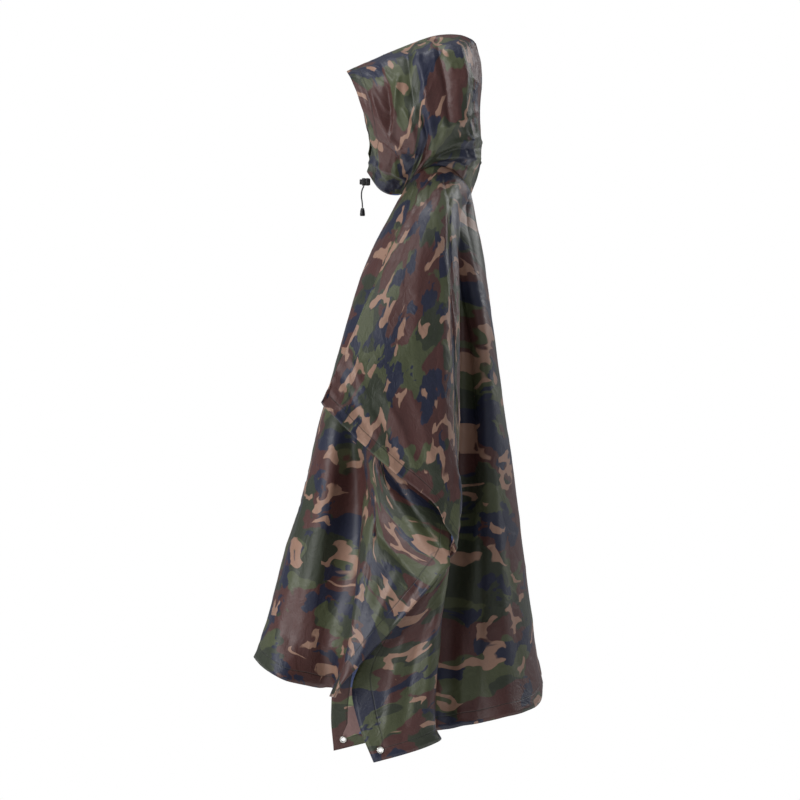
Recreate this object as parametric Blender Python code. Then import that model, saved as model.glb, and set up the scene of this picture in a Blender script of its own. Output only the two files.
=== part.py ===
"""Rain poncho with a hood, worn by nobody and kept in its worn form.

One big rectangle of coated nylon hangs from the neck over both shoulders and arms.  The arms are a little forward,
so a ridge runs from the neck to each cuff; the front half of the sheet hangs before the ridge, the back half behind
it, and below the sleeve the front edge lies outside the back edge.  Front is -Y, the wearer's left is +X.

Every sheet is worked out from ribs: lines drawn down the cloth from the neck to its edge, each through a few points.
The surface is the smooth curve through the ribs, and the wall is laid half on each side of it.
"""

import math

import bpy
import numpy as np

# Driving dimensions, metres
WALL = 0.0016            # thickness of every cloth wall
SEAM_GAP = 0.0004        # between pieces that are sewn together
NECK_HALF_WIDTH = 0.088
NECK_HALF_DEPTH = 0.070
NECK_CENTRE_Y = 0.010
NECK_LOW_Z = -0.008      # height of the neck seam at front and back centre
NECK_RISE = 0.056        # how much higher it lies over the shoulders
ROWS = 14                # rows of the sheet from neck to hem
BODY_STEPS = 2           # columns between two ribs
HOOD_ROWS = 11
HOOD_STEPS = 5
FAR_SWING = 0.085        # how far the right back corner hangs further forward than the left one
SWING_TOP = -0.74        # height where that begins, and the drop over which it grows to its full reach
SWING_DEPTH = 0.42

EYELET_HOLE = 0.0044     # radii
EYELET_FLANGE = 0.0075
EYELET_BARREL = 0.0054
EYELET_CUT = 0.0058
EYELET_HALF_LENGTH = 0.0028
EYELET_SHEET_GAP = 0.0011
EYELET_INSET = 0.020     # from both edges of the cloth

CORD_RADIUS = 0.0014
LOCK_CENTRE = (0.0, -0.1375, 0.0165)
LOCK_RADIUS = 0.0078
LOCK_HALF_LENGTH = 0.0110
CORD_END_TOP = (0.0, -0.1425, -0.0370)
CORD_END_RADIUS = 0.0052
CORD_END_HEIGHT = 0.0165

# Way of the left cord end, from the cord lock down to the grip; the right one is its mirror image.
CORD_ROUTE = [
    (0.0030, -0.1400, 0.0080),
    (0.0040, -0.1438, -0.0020),
    (0.0036, -0.1446, -0.0140),
    (0.0026, -0.1432, -0.0250),
    (0.0020, -0.1425, -0.0366),
]

# Ribs of the left side.  Each: angle on the neck hole from front centre, degrees; how much of FAR_SWING its mirror
# image takes; then four points from the shoulder down to the edge of the sheet.
FRONT_RIBS = [
    (0, 0.0, (0.000, -0.122, -0.130), (0.000, -0.193, -0.370), (0.000, -0.272, -0.690), (0.000, -0.346, -0.950)),
    (16, 0.0, (0.085, -0.130, -0.139), (0.115, -0.200, -0.365), (0.140, -0.281, -0.697), (0.145, -0.355, -0.962)),
    (32, 0.0, (0.125, -0.116, -0.136), (0.162, -0.178, -0.370), (0.200, -0.242, -0.700), (0.240, -0.302, -1.000)),
    (45, 0.0, (0.150, -0.096, -0.128), (0.172, -0.122, -0.370), (0.155, -0.168, -0.700), (0.180, -0.212, -1.020)),
    (54, 0.0, (0.165, -0.085, -0.120), (0.222, -0.116, -0.355), (0.295, -0.152, -0.690), (0.355, -0.216, -1.027)),
    (61, 0.0, (0.175, -0.077, -0.110), (0.262, -0.112, -0.335), (0.358, -0.132, -0.690), (0.455, -0.203, -1.026)),
    (67, 0.0, (0.184, -0.069, -0.100), (0.278, -0.106, -0.310), (0.366, -0.108, -0.660), (0.422, -0.092, -0.905)),
    (71, 0.0, (0.190, -0.062, -0.090), (0.284, -0.102, -0.280), (0.352, -0.088, -0.600), (0.424, 0.036, -0.764)),
    (74, 0.0, (0.192, -0.059, -0.085), (0.286, -0.102, -0.265), (0.345, -0.086, -0.570), (0.407, 0.034, -0.737)),
    (77, 0.0, (0.193, -0.056, -0.080), (0.288, -0.101, -0.250), (0.340, -0.080, -0.540), (0.373, 0.024, -0.701)),
    (80, 0.0, (0.195, -0.054, -0.076), (0.290, -0.101, -0.238), (0.336, -0.080, -0.495), (0.346, 0.021, -0.655)),
    (83, 0.0, (0.196, -0.051, -0.068), (0.292, -0.102, -0.220), (0.352, -0.097, -0.440), (0.357, -0.004, -0.580)),
    (86, 0.0, (0.198, -0.046, -0.056), (0.288, -0.105, -0.190), (0.350, -0.133, -0.328), (0.376, -0.120, -0.488)),
]
RIDGE_RIB = (
    90, 0.0, (0.200, -0.037, -0.033), (0.290, -0.112, -0.180), (0.378, -0.176, -0.326), (0.420, -0.2255, -0.4305)
)
BACK_RIBS = [
    (94, 0.0, (0.212, -0.022, -0.034), (0.320, -0.084, -0.190), (0.404, -0.138, -0.360), (0.434, -0.165, -0.497)),
    (98, 0.0, (0.220, -0.006, -0.035), (0.332, -0.046, -0.205), (0.410, -0.072, -0.400), (0.440, -0.077, -0.577)),
    (103, 0.0, (0.226, 0.006, -0.036), (0.334, -0.012, -0.220), (0.402, -0.014, -0.430), (0.430, -0.002, -0.636)),
    (107, 0.0, (0.228, 0.013, -0.038), (0.332, 0.008, -0.235), (0.402, 0.010, -0.460), (0.424, 0.018, -0.676)),
    (110, 0.0, (0.228, 0.018, -0.040), (0.330, 0.017, -0.245), (0.397, 0.022, -0.480), (0.412, 0.033, -0.704)),
    (112, 0.0, (0.228, 0.022, -0.041), (0.327, 0.024, -0.255), (0.391, 0.030, -0.500), (0.402, 0.044, -0.730)),
    (115, 0.0, (0.227, 0.026, -0.043), (0.323, 0.031, -0.272), (0.384, 0.039, -0.540), (0.391, 0.046, -0.690),
     (0.396, 0.032, -0.750)),
    (119, 0.2, (0.225, 0.031, -0.045), (0.317, 0.038, -0.290), (0.374, 0.045, -0.580), (0.384, 0.048, -0.735),
     (0.387, -0.042, -0.820)),
    (124, 0.7, (0.221, 0.036, -0.050), (0.310, 0.044, -0.310), (0.364, 0.050, -0.630), (0.376, 0.047, -0.760),
     (0.386, -0.045, -0.890), (0.402, -0.160, -1.000)),
    (129, 1.0, (0.215, 0.042, -0.055), (0.302, 0.049, -0.330), (0.355, 0.053, -0.660), (0.370, 0.044, -0.810),
     (0.396, -0.020, -0.980), (0.450, -0.119, -1.162)),
    (136, 0.9, (0.208, 0.047, -0.062), (0.292, 0.053, -0.350), (0.344, 0.056, -0.680), (0.370, 0.042, -0.880),
     (0.428, -0.035, -1.138)),
    (143, 0.6, (0.199, 0.051, -0.070), (0.270, 0.056, -0.370), (0.318, 0.055, -0.690), (0.352, 0.043, -0.890),
     (0.385, 0.016, -1.116)),
    (148, 0.4, (0.176, 0.056, -0.079), (0.200, 0.053, -0.370), (0.222, 0.046, -0.690), (0.252, 0.032, -0.890),
     (0.296, 0.014, -1.103)),
    (153, 0.2, (0.164, 0.066, -0.084), (0.178, 0.076, -0.380), (0.200, 0.072, -0.690), (0.228, 0.058, -0.890),
     (0.268, 0.044, -1.096)),
    (160, 0.1, (0.148, 0.079, -0.090), (0.184, 0.108, -0.400), (0.240, 0.124, -0.800), (0.285, 0.145, -1.075)),
    (168, 0.0, (0.108, 0.093, -0.105), (0.130, 0.136, -0.400), (0.155, 0.184, -0.800), (0.180, 0.217, -1.047)),
    (180, 0.0, (0.000, 0.100, -0.110), (0.000, 0.139, -0.387), (0.000, 0.190, -0.715), (0.000, 0.223, -0.980)),
]
CORNER_RIBS = (5, 23)    # places of the two corners of the sheet, counted from the front centre
TURN_RIBS = (7, 19)      # places where the front and the back edge turn below the sleeve
SMOOTHING = 2            # rounds that even out the rows between the ribs

# Ribs of the left half of the hood, from the brim to the back seam; the first point of the last five lies on the
# neck seam, at the angle given, and the top point of each lies on the seam over the head.
HOOD_RIBS = [
    (None, (0.006, -0.133, 0.037), (0.058, -0.126, 0.096), (0.082, -0.143, 0.168), (0.060, -0.163, 0.222),
     (0.000, -0.175, 0.243)),
    (None, (0.005, -0.103, -0.002), (0.090, -0.096, 0.080), (0.108, -0.098, 0.170), (0.078, -0.112, 0.246),
     (0.000, -0.125, 0.265)),
    (0, (0.108, -0.050, 0.078), (0.124, -0.048, 0.172), (0.092, -0.056, 0.262), (0.000, -0.062, 0.292)),
    (60, (0.120, 0.000, 0.090), (0.130, 0.002, 0.180), (0.098, 0.000, 0.276), (0.000, 0.004, 0.315)),
    (110, (0.110, 0.052, 0.085), (0.116, 0.054, 0.180), (0.090, 0.050, 0.276), (0.000, 0.052, 0.318)),
    (150, (0.064, 0.088, 0.075), (0.070, 0.090, 0.180), (0.056, 0.084, 0.268), (0.000, 0.078, 0.310)),
    (180, (0.000, 0.098, 0.050), (0.000, 0.098, 0.160), (0.000, 0.101, 0.254), (0.000, 0.090, 0.300)),
]
HEAD_MIDDLE = (0.0, -0.02, 0.15)
HOOD_NECK_RIB = 2        # the first rib that ends on the neck seam


def neck_point(angle):
    """Point of the neck seam at an angle in radians from front centre: an ellipse that rises over the shoulders."""
    s, c = np.sin(angle), np.cos(angle)
    return np.stack(
        [
            NECK_HALF_WIDTH * s,
            NECK_CENTRE_Y - NECK_HALF_DEPTH * c,
            NECK_LOW_Z + NECK_RISE * np.abs(s) ** 1.6,
        ],
        axis=-1,
    )


def neck_normal(angle):
    """Direction that both pieces share along the neck seam: outward, and downward below the chin."""
    lift = 0.15 - 0.65 * ((1 + np.cos(angle)) / 2) ** 3
    n = np.stack([np.sin(angle), -np.cos(angle), lift], axis=-1)
    return n / np.linalg.norm(n, axis=-1, keepdims=True)


def spline(points, t):
    """Smooth curve through points, read at shares t of its chord length (Hermite, tangents from the neighbours)."""
    p = np.array(points, dtype=float)
    knots = np.concatenate([[0.0], np.cumsum(np.linalg.norm(np.diff(p, axis=0), axis=1))])
    slope = np.diff(p, axis=0) / np.diff(knots)[:, None]
    tangent = np.vstack([slope[:1], (slope[1:] + slope[:-1]) / 2, slope[-1:]])
    x = np.asarray(t) * knots[-1]
    k = np.clip(np.searchsorted(knots, x, side="right") - 1, 0, len(p) - 2)
    h = (knots[k + 1] - knots[k])[:, None]
    s = ((x - knots[k]) / h[:, 0])[:, None]
    return (
        (2 * s**3 - 3 * s**2 + 1) * p[k]
        + (s**3 - 2 * s**2 + s) * h * tangent[k]
        + (3 * s**2 - 2 * s**3) * p[k + 1]
        + (s**3 - s**2) * h * tangent[k + 1]
    )


def across(ribs, steps, closed, corners=(), t=None):
    """Columns between ribs (count, rows, 3): Hermite curves, broken at the corners of the sheet near its edge."""
    count = len(ribs)
    if closed:
        before, after = np.roll(ribs, 1, axis=0), np.roll(ribs, -1, axis=0)
    else:
        before = np.concatenate([ribs[:1], ribs[:-1]])
        after = np.concatenate([ribs[1:], ribs[-1:]])
    into, out = ribs - before, after - ribs
    if not closed:
        into[0], out[-1] = out[0], into[-1]
    tangent_in, tangent_out = (into + out) / 2, (into + out) / 2
    for c in corners:
        share = np.clip((t - 0.82) / 0.18, 0, 1)[:, None] ** 2
        tangent_in[c] = tangent_in[c] * (1 - share) + into[c] * share
        tangent_out[c] = tangent_out[c] * (1 - share) + out[c] * share
    columns = []
    for i in range(count if closed else count - 1):
        j = (i + 1) % count
        for k in range(steps):
            s = k / steps
            columns.append(
                (2 * s**3 - 3 * s**2 + 1) * ribs[i]
                + (s**3 - 2 * s**2 + s) * tangent_out[i]
                + (3 * s**2 - 2 * s**3) * ribs[j]
                + (s**3 - s**2) * tangent_in[j]
            )
    if not closed:
        columns.append(ribs[-1])
    return np.array(columns)


def between(values, steps, closed):
    """Linear steps between the ribs' own values, column for column."""
    ends = list(values) + ([values[0] + 2 * math.pi] if closed else [])
    parts = [np.linspace(a, b, steps, endpoint=False) for a, b in zip(ends, ends[1:])]
    return np.concatenate(parts if closed else [*parts, ends[-1:]])


def unit(vectors):
    """The same directions at length 1."""
    return vectors / np.maximum(np.linalg.norm(vectors, axis=-1, keepdims=True), 1e-12)


def grid_normals(grid, closed):
    """Unit normals of a (column, row) grid: square to the mean direction of the two edges on each side of a point,
    so that a sharp fold gets the line that halves it."""
    steps_v = unit(np.diff(grid, axis=1))
    dv = np.concatenate([steps_v[:, :1], steps_v[:, 1:] + steps_v[:, :-1], steps_v[:, -1:]], axis=1)
    if closed:
        steps_u = unit(np.roll(grid, -1, axis=0) - grid)
        du = steps_u + np.roll(steps_u, 1, axis=0)
    else:
        steps_u = unit(np.diff(grid, axis=0))
        du = np.concatenate([steps_u[:1], steps_u[1:] + steps_u[:-1], steps_u[-1:]])
    return unit(np.cross(dv, du))


def body_grid():
    """Mid-surface of the whole sheet as closed columns round the body, with its normals; column 0 is front centre
    and the columns run by the left side to the back and on by the right side."""
    t = np.linspace(0, 1, ROWS)
    near = FRONT_RIBS + [RIDGE_RIB] + BACK_RIBS
    ribs, angles = [], []
    for angle, _, *points in near:
        start = neck_point(np.radians(float(angle)))
        ribs.append(spline([start, *points], t))
        angles.append(math.radians(angle))
    for angle, swing, *points in reversed(near[1:-1]):
        start = neck_point(np.radians(float(angle)))
        shifted = [
            (x, y - FAR_SWING * swing * min(1.0, max(0.0, (SWING_TOP - z) / SWING_DEPTH)), z) for x, y, z in points
        ]
        ribs.append(spline([start, *shifted], t) * (-1, 1, 1))
        angles.append(2 * math.pi - math.radians(angle))
    turns = CORNER_RIBS + TURN_RIBS
    grid = across(np.array(ribs), BODY_STEPS, True, turns + tuple(len(ribs) - c for c in turns), t)
    ridge = len(FRONT_RIBS) * BODY_STEPS
    free = np.ones(len(grid), dtype=bool)
    free[[ridge, -ridge]] = False
    for _ in range(SMOOTHING):
        mean = (np.roll(grid, 1, axis=0) + 2 * grid + np.roll(grid, -1, axis=0)) / 4
        grid[free, :-1] = mean[free, :-1]
    phi = between(angles, BODY_STEPS, True)
    grid[:, 0] = neck_point(phi)
    normals = grid_normals(grid, True)
    normals[:, 0] = neck_normal(phi)
    return grid, normals


def clear_neck(grid):
    """Moves the first row off the neck seam, towards the second row."""
    grid[:, 0] += unit(grid[:, 1] - grid[:, 0]) * SEAM_GAP
    return grid


def wall(name, grid, normals, material):
    """Closed wall round a (column, row) mid-surface: outer skin, inner skin and the rim between them.  Both skins are
    cut along the same, shorter diagonal of each cell, so that they stay apart where the cloth is twisted."""
    nc, nr = grid.shape[:2]
    outer = (grid + normals * WALL / 2).reshape(-1, 3)
    inner = (grid - normals * WALL / 2).reshape(-1, 3)
    at = np.arange(nc * nr).reshape(nc, nr)
    a, b, c, d = at[:-1, :-1], at[1:, :-1], at[1:, 1:], at[:-1, 1:]
    flat = grid.reshape(-1, 3)
    ac = np.linalg.norm(flat[a] - flat[c], axis=-1) < np.linalg.norm(flat[b] - flat[d], axis=-1)
    first = np.where(ac[..., None], np.stack([a, d, c], axis=-1), np.stack([a, d, b], axis=-1))
    second = np.where(ac[..., None], np.stack([a, c, b], axis=-1), np.stack([d, c, b], axis=-1))
    skin = np.concatenate([first.reshape(-1, 3), second.reshape(-1, 3)])
    faces = [*skin.tolist(), *(skin[:, ::-1] + nc * nr).tolist()]
    rim = [*at[:, 0], *at[-1, 1:], *at[-2::-1, -1], *at[0, -2:0:-1]]
    both = np.vstack([outer, inner])
    for p, q in zip(rim, rim[1:] + rim[:1]):
        pi, qi = p + nc * nr, q + nc * nr
        if np.dot(flat[p] - flat[q], (0.0, 0.3, 1.0)) > 0:
            faces += [[p, q, qi], [p, qi, pi]]
        else:
            faces += [[p, q, pi], [q, qi, pi]]
    mesh = bpy.data.meshes.new(name)
    mesh.from_pydata(both.tolist(), [], [[int(k) for k in face] for face in faces])
    mesh.validate()
    mesh.shade_smooth()
    mesh.materials.append(material)
    obj = bpy.data.objects.new(name, mesh)
    bpy.context.scene.collection.objects.link(obj)
    return obj


def make_material(name, colour, roughness, metallic=0.0):
    """Principled material from an sRGB colour."""
    material = bpy.data.materials.new(name)
    material.use_nodes = True
    shader = material.node_tree.nodes["Principled BSDF"]
    linear = [((c / 255 + 0.055) / 1.055) ** 2.4 for c in colour]
    shader.inputs["Base Color"].default_value = (*linear, 1)
    shader.inputs["Roughness"].default_value = roughness
    shader.inputs["Metallic"].default_value = metallic
    return material


def build_body(nylon):
    """Front and back halves of the sheet, parted along the two arm ridges."""
    grid, normals = body_grid()
    columns = len(grid)
    ridge = len(FRONT_RIBS) * BODY_STEPS
    front = np.arange(-ridge, ridge + 1) % columns
    back = np.arange(ridge, columns - ridge + 1)
    steps = unit(np.roll(grid, -1, axis=0) - grid)
    over_ridge = unit(steps + np.roll(steps, 1, axis=0)) * SEAM_GAP / 2
    for name, chosen in (("body_front", front), ("body_back", back)):
        part = clear_neck(grid[chosen].copy())
        part[0] += over_ridge[chosen[0]]
        part[-1] -= over_ridge[chosen[-1]]
        piece = wall(name, part, normals[chosen], nylon)
    return piece, grid


def seam_normal(points):
    """Directions square to a seam that lies in the plane x = 0, pointing away from the middle of the head."""
    along = np.gradient(points, axis=0)
    n = np.stack([np.zeros(len(points)), -along[:, 2], along[:, 1]], axis=-1)
    n /= np.linalg.norm(n, axis=-1, keepdims=True)
    away = points - HEAD_MIDDLE
    return n * np.sign(np.sum(n * away, axis=-1, keepdims=True))


def build_hood(nylon):
    """Two hood halves with a seam over the head, down the back and under the chin."""
    t = np.linspace(0, 1, HOOD_ROWS)
    ribs, angles = [], []
    for angle, *points in HOOD_RIBS:
        start = [] if angle is None else [neck_point(math.radians(angle))]
        ribs.append(spline([*start, *points], t))
        angles.append(math.radians(angle or 0))
    grid = across(np.array(ribs), HOOD_STEPS, False)
    first = HOOD_NECK_RIB * HOOD_STEPS
    phi = between(angles[HOOD_NECK_RIB:], HOOD_STEPS, False)
    grid[first:, 0] = neck_point(phi)
    normals = -grid_normals(grid, False)
    normals[: first + 1, 0] = seam_normal(grid[: first + 1, 0])
    normals[first:, 0] = neck_normal(phi)
    normals[:, -1] = seam_normal(grid[:, -1])
    normals[-1, 1:] = seam_normal(grid[-1])[1:]
    normals[-1, -1] = (0.0, 0.6, 0.8)
    grid = clear_neck(grid)
    grid[..., 0] = np.maximum(grid[..., 0], SEAM_GAP / 2)
    wall("hood_left", grid[::-1], normals[::-1], nylon)
    flip = np.array([-1, 1, 1])
    wall("hood_right", grid * flip, normals * flip, nylon)


def turned(name, profile, centre, axis, material, segments=20):
    """Solid of revolution: (radius, height) points round an axis through a centre; radius 0 closes the ends."""
    axis = np.array(axis, dtype=float) / np.linalg.norm(axis)
    helper = np.array([0.0, 0.0, 1.0]) if abs(axis[2]) < 0.9 else np.array([0.0, 1.0, 0.0])
    side = np.cross(helper, axis)
    side /= np.linalg.norm(side)
    up = np.cross(axis, side)
    angle = np.arange(segments) * 2 * math.pi / segments
    vertices, rings = [], []
    for radius, height in profile:
        base = np.array(centre) + axis * height
        if radius == 0:
            rings.append([len(vertices)])
            vertices.append(base)
        else:
            rings.append(list(range(len(vertices), len(vertices) + segments)))
            vertices += [base + radius * (math.cos(a) * side + math.sin(a) * up) for a in angle]
    closed = profile[0][0] > 0
    pairs = list(zip(rings, rings[1:] + rings[:1])) if closed else list(zip(rings, rings[1:]))
    faces = []
    for low, high in pairs:
        for k in range(segments):
            m = (k + 1) % segments
            if len(low) == 1:
                faces.append([low[0], high[m], high[k]])
            elif len(high) == 1:
                faces.append([low[k], low[m], high[0]])
            else:
                faces.append([low[k], low[m], high[m], high[k]])
    mesh = bpy.data.meshes.new(name)
    mesh.from_pydata([tuple(v) for v in vertices], [], faces)
    mesh.shade_smooth()
    mesh.set_sharp_from_angle(angle=math.radians(40))
    mesh.materials.append(material)
    obj = bpy.data.objects.new(name, mesh)
    bpy.context.scene.collection.objects.link(obj)
    return obj


def cut_round(obj, centre, axis, radius, reach=0.006):
    """Round hole through a wall, by a cylinder that stays out of the model."""
    cutter = turned(
        f"cutter_{obj.name}_{len(obj.modifiers)}",
        [(0, -reach), (radius, -reach), (radius, reach), (0, reach)],
        centre,
        axis,
        obj.data.materials[0],
        segments=16,
    )
    cutter.hide_render = True
    cutter.display_type = "WIRE"
    cut = obj.modifiers.new("eyelet hole", "BOOLEAN")
    cut.operation = "DIFFERENCE"
    cut.solver = "EXACT"
    cut.object = cutter


def build_eyelets(body, grid, metal):
    """Spool-shaped rings through holes in the back corners of the sheet."""
    columns = len(grid)
    corner = CORNER_RIBS[1] * BODY_STEPS
    for side, column, turn in (("left", corner, 1), ("right", columns - corner, -1)):
        tip = grid[column, -1]
        along_hem = grid[column + turn * 2, -1] - tip
        along_side = grid[column - turn * 2, -1] - tip
        u = along_hem / np.linalg.norm(along_hem)
        v = along_side / np.linalg.norm(along_side)
        aim = tip + (u + v) * EYELET_INSET
        depsgraph = bpy.context.evaluated_depsgraph_get()
        _, place, axis, _ = body.evaluated_get(depsgraph).closest_point_on_mesh(aim.tolist())
        centre = np.array(place) - np.array(axis) * WALL / 2
        inner = WALL / 2 + EYELET_SHEET_GAP
        cut_round(body, centre, axis, EYELET_CUT)
        profile = [
            (EYELET_HOLE, -EYELET_HALF_LENGTH),
            (EYELET_FLANGE, -EYELET_HALF_LENGTH),
            (EYELET_FLANGE, -inner),
            (EYELET_BARREL, -inner),
            (EYELET_BARREL, inner),
            (EYELET_FLANGE, inner),
            (EYELET_FLANGE, EYELET_HALF_LENGTH),
            (EYELET_HOLE, EYELET_HALF_LENGTH),
        ]
        turned(f"eyelet_back_{side}", profile, centre, axis, metal)


def build_cord(black, dark):
    """Cord lock at the chin, two hanging cord ends and the grip that holds them."""
    turned(
        "cord_lock",
        [
            (0, -LOCK_HALF_LENGTH),
            (LOCK_RADIUS * 0.72, -LOCK_HALF_LENGTH),
            (LOCK_RADIUS, -LOCK_HALF_LENGTH * 0.7),
            (LOCK_RADIUS, LOCK_HALF_LENGTH * 0.7),
            (LOCK_RADIUS * 0.72, LOCK_HALF_LENGTH),
            (0, LOCK_HALF_LENGTH),
        ],
        LOCK_CENTRE,
        (0, 1, 0),
        dark,
    )
    top = np.array(CORD_END_TOP)
    turned(
        "cord_end",
        [
            (0, -CORD_END_HEIGHT),
            (CORD_END_RADIUS * 0.8, -CORD_END_HEIGHT),
            (CORD_END_RADIUS, -CORD_END_HEIGHT * 0.8),
            (CORD_END_RADIUS, -CORD_END_HEIGHT * 0.25),
            (CORD_END_RADIUS * 0.7, 0),
            (0, 0),
        ],
        top,
        (0, 0, 1),
        dark,
    )
    for name, sign in (("drawcord_left", 1), ("drawcord_right", -1)):
        route = [(sign * x, y, z) for x, y, z in CORD_ROUTE]
        points = spline(route, np.linspace(0, 1, 18))
        curve = bpy.data.curves.new(name, "CURVE")
        curve.dimensions = "3D"
        curve.bevel_depth = CORD_RADIUS
        curve.bevel_resolution = 2
        curve.use_fill_caps = True
        line = curve.splines.new("POLY")
        line.points.add(len(points) - 1)
        for p, q in zip(line.points, points):
            p.co = (*q, 1)
        curve.materials.append(black)
        bpy.context.scene.collection.objects.link(bpy.data.objects.new(name, curve))


def main():
    for obj in list(bpy.data.objects):
        bpy.data.objects.remove(obj)
    nylon = make_material("coated nylon", (74, 80, 62), 0.35)
    metal = make_material("nickel-plated brass", (190, 190, 186), 0.3, 1.0)
    plastic = make_material("black acetal", (22, 22, 24), 0.4)
    cord = make_material("black braided cord", (24, 24, 26), 0.8)
    body_back, grid = build_body(nylon)
    build_hood(nylon)
    build_eyelets(body_back, grid, metal)
    build_cord(cord, plastic)


main()
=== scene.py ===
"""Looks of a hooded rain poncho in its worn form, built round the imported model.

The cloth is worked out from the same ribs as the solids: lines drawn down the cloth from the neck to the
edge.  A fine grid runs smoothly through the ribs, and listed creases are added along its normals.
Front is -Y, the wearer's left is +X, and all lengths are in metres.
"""

import math

import bmesh
import bpy
import numpy as np
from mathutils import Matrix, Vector


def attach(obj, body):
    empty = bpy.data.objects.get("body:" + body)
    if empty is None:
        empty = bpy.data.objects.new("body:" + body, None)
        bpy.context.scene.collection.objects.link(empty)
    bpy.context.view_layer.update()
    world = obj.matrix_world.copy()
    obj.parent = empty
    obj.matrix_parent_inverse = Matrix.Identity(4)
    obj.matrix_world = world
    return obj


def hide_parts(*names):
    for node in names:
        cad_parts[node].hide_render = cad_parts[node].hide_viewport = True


bl_info = {
    "name": "Rain Poncho",
    "version": (1, 0, 0),
    "blender": (4, 5, 0),
    "location": "View3D > Sidebar > Rain Poncho",
    "description": "Makes the cloth, cord, fittings and studio of a hooded rain poncho",
    "category": "Object",
}

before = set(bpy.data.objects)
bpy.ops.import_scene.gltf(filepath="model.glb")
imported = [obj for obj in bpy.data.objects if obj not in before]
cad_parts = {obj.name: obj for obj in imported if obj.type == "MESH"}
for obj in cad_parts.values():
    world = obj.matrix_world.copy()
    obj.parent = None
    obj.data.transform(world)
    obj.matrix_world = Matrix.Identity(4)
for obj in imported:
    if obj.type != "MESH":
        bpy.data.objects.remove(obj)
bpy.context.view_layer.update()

# Neck hole
NECK_HALF_WIDTH = 0.088
NECK_HALF_DEPTH = 0.070
NECK_CENTRE_Y = 0.010
NECK_LOW_Z = -0.008
NECK_RISE = 0.056

# How far the right back corner hangs further forward than the left one, and where that begins
FAR_SWING = 0.085
SWING_TOP = -0.74
SWING_DEPTH = 0.42

# The flat sheet: half its width, and how far it reaches before and behind the line over the arms
FLAT_HALF_WIDTH = 0.70
FLAT_FRONT = 1.02
FLAT_BACK = 1.06

# Cord, lock, grip and eyelets
CORD_RADIUS = 0.0014
CORD_SIDES = 16
CORD_STEPS = 40
LOCK_CENTRE = (0.0, -0.1375, 0.0165)
LOCK_RADIUS = 0.0078
LOCK_HALF_LENGTH = 0.0110
CORD_END_TOP = (0.0, -0.1425, -0.0370)
CORD_END_RADIUS = 0.0052
CORD_END_HEIGHT = 0.0165
CORD_ROUTE = [
    (0.003, -0.14, 0.008),
    (0.004, -0.1438, -0.002),
    (0.0036, -0.1446, -0.014),
    (0.0026, -0.1432, -0.025),
    (0.002, -0.1425, -0.0366),
]
EYELET_HOLE = 0.0044
EYELET_FLANGE = 0.0075
EYELET_HALF_LENGTH = 0.0028
EYELET_CUT = 0.0058      # radius of the hole in the cloth
ROLL_POWER = 0.6         # of an eyelet's section: 1 is an ellipse, less is boxier
eyelet_places = {}       # middle and axis of each eyelet, filled when the sheet that it sits in is made

# Ribs of the left side.  Each: angle on the neck hole from front centre, degrees; how much of FAR_SWING
# its mirror image takes; then its points from the shoulder down to the edge of the sheet.
FRONT_RIBS = [
    (0, 0, (0.0, -0.122, -0.13), (0.0, -0.193, -0.37), (0.0, -0.272, -0.69), (0.0, -0.346, -0.95)),
    (16, 0, (0.085, -0.13, -0.139), (0.115, -0.2, -0.365), (0.14, -0.281, -0.697), (0.145, -0.355, -0.962)),
    (32, 0, (0.125, -0.116, -0.136), (0.162, -0.178, -0.37), (0.2, -0.242, -0.7), (0.24, -0.302, -1.0)),
    (45, 0, (0.15, -0.096, -0.128), (0.172, -0.122, -0.37), (0.155, -0.168, -0.7), (0.18, -0.212, -1.02)),
    (54, 0, (0.165, -0.085, -0.12), (0.222, -0.116, -0.355), (0.295, -0.152, -0.69), (0.355, -0.216, -1.027)),
    (61, 0, (0.175, -0.077, -0.11), (0.262, -0.112, -0.335), (0.358, -0.132, -0.69), (0.455, -0.203, -1.026)),
    (67, 0, (0.184, -0.069, -0.1), (0.278, -0.106, -0.31), (0.366, -0.108, -0.66), (0.422, -0.092, -0.905)),
    (71, 0, (0.19, -0.062, -0.09), (0.284, -0.102, -0.28), (0.352, -0.088, -0.6), (0.424, 0.036, -0.764)),
    (74, 0, (0.192, -0.059, -0.085), (0.286, -0.102, -0.265), (0.345, -0.086, -0.57), (0.407, 0.034, -0.737)),
    (77, 0, (0.193, -0.056, -0.08), (0.288, -0.101, -0.25), (0.34, -0.08, -0.54), (0.374, 0.037, -0.703)),
    (80, 0, (0.195, -0.054, -0.076), (0.29, -0.101, -0.238), (0.336, -0.08, -0.495), (0.348, 0.03, -0.66)),
    (83, 0, (0.196, -0.051, -0.068), (0.292, -0.102, -0.22), (0.352, -0.097, -0.44), (0.357, -0.004, -0.58)),
    (86, 0, (0.198, -0.046, -0.056), (0.288, -0.105, -0.19), (0.35, -0.133, -0.328), (0.376, -0.12, -0.488)),
]
RIDGE_RIB = (
    90, 0, (0.2, -0.037, -0.033), (0.29, -0.112, -0.18), (0.378, -0.176, -0.326), (0.42, -0.2255, -0.4305)
)
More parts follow.
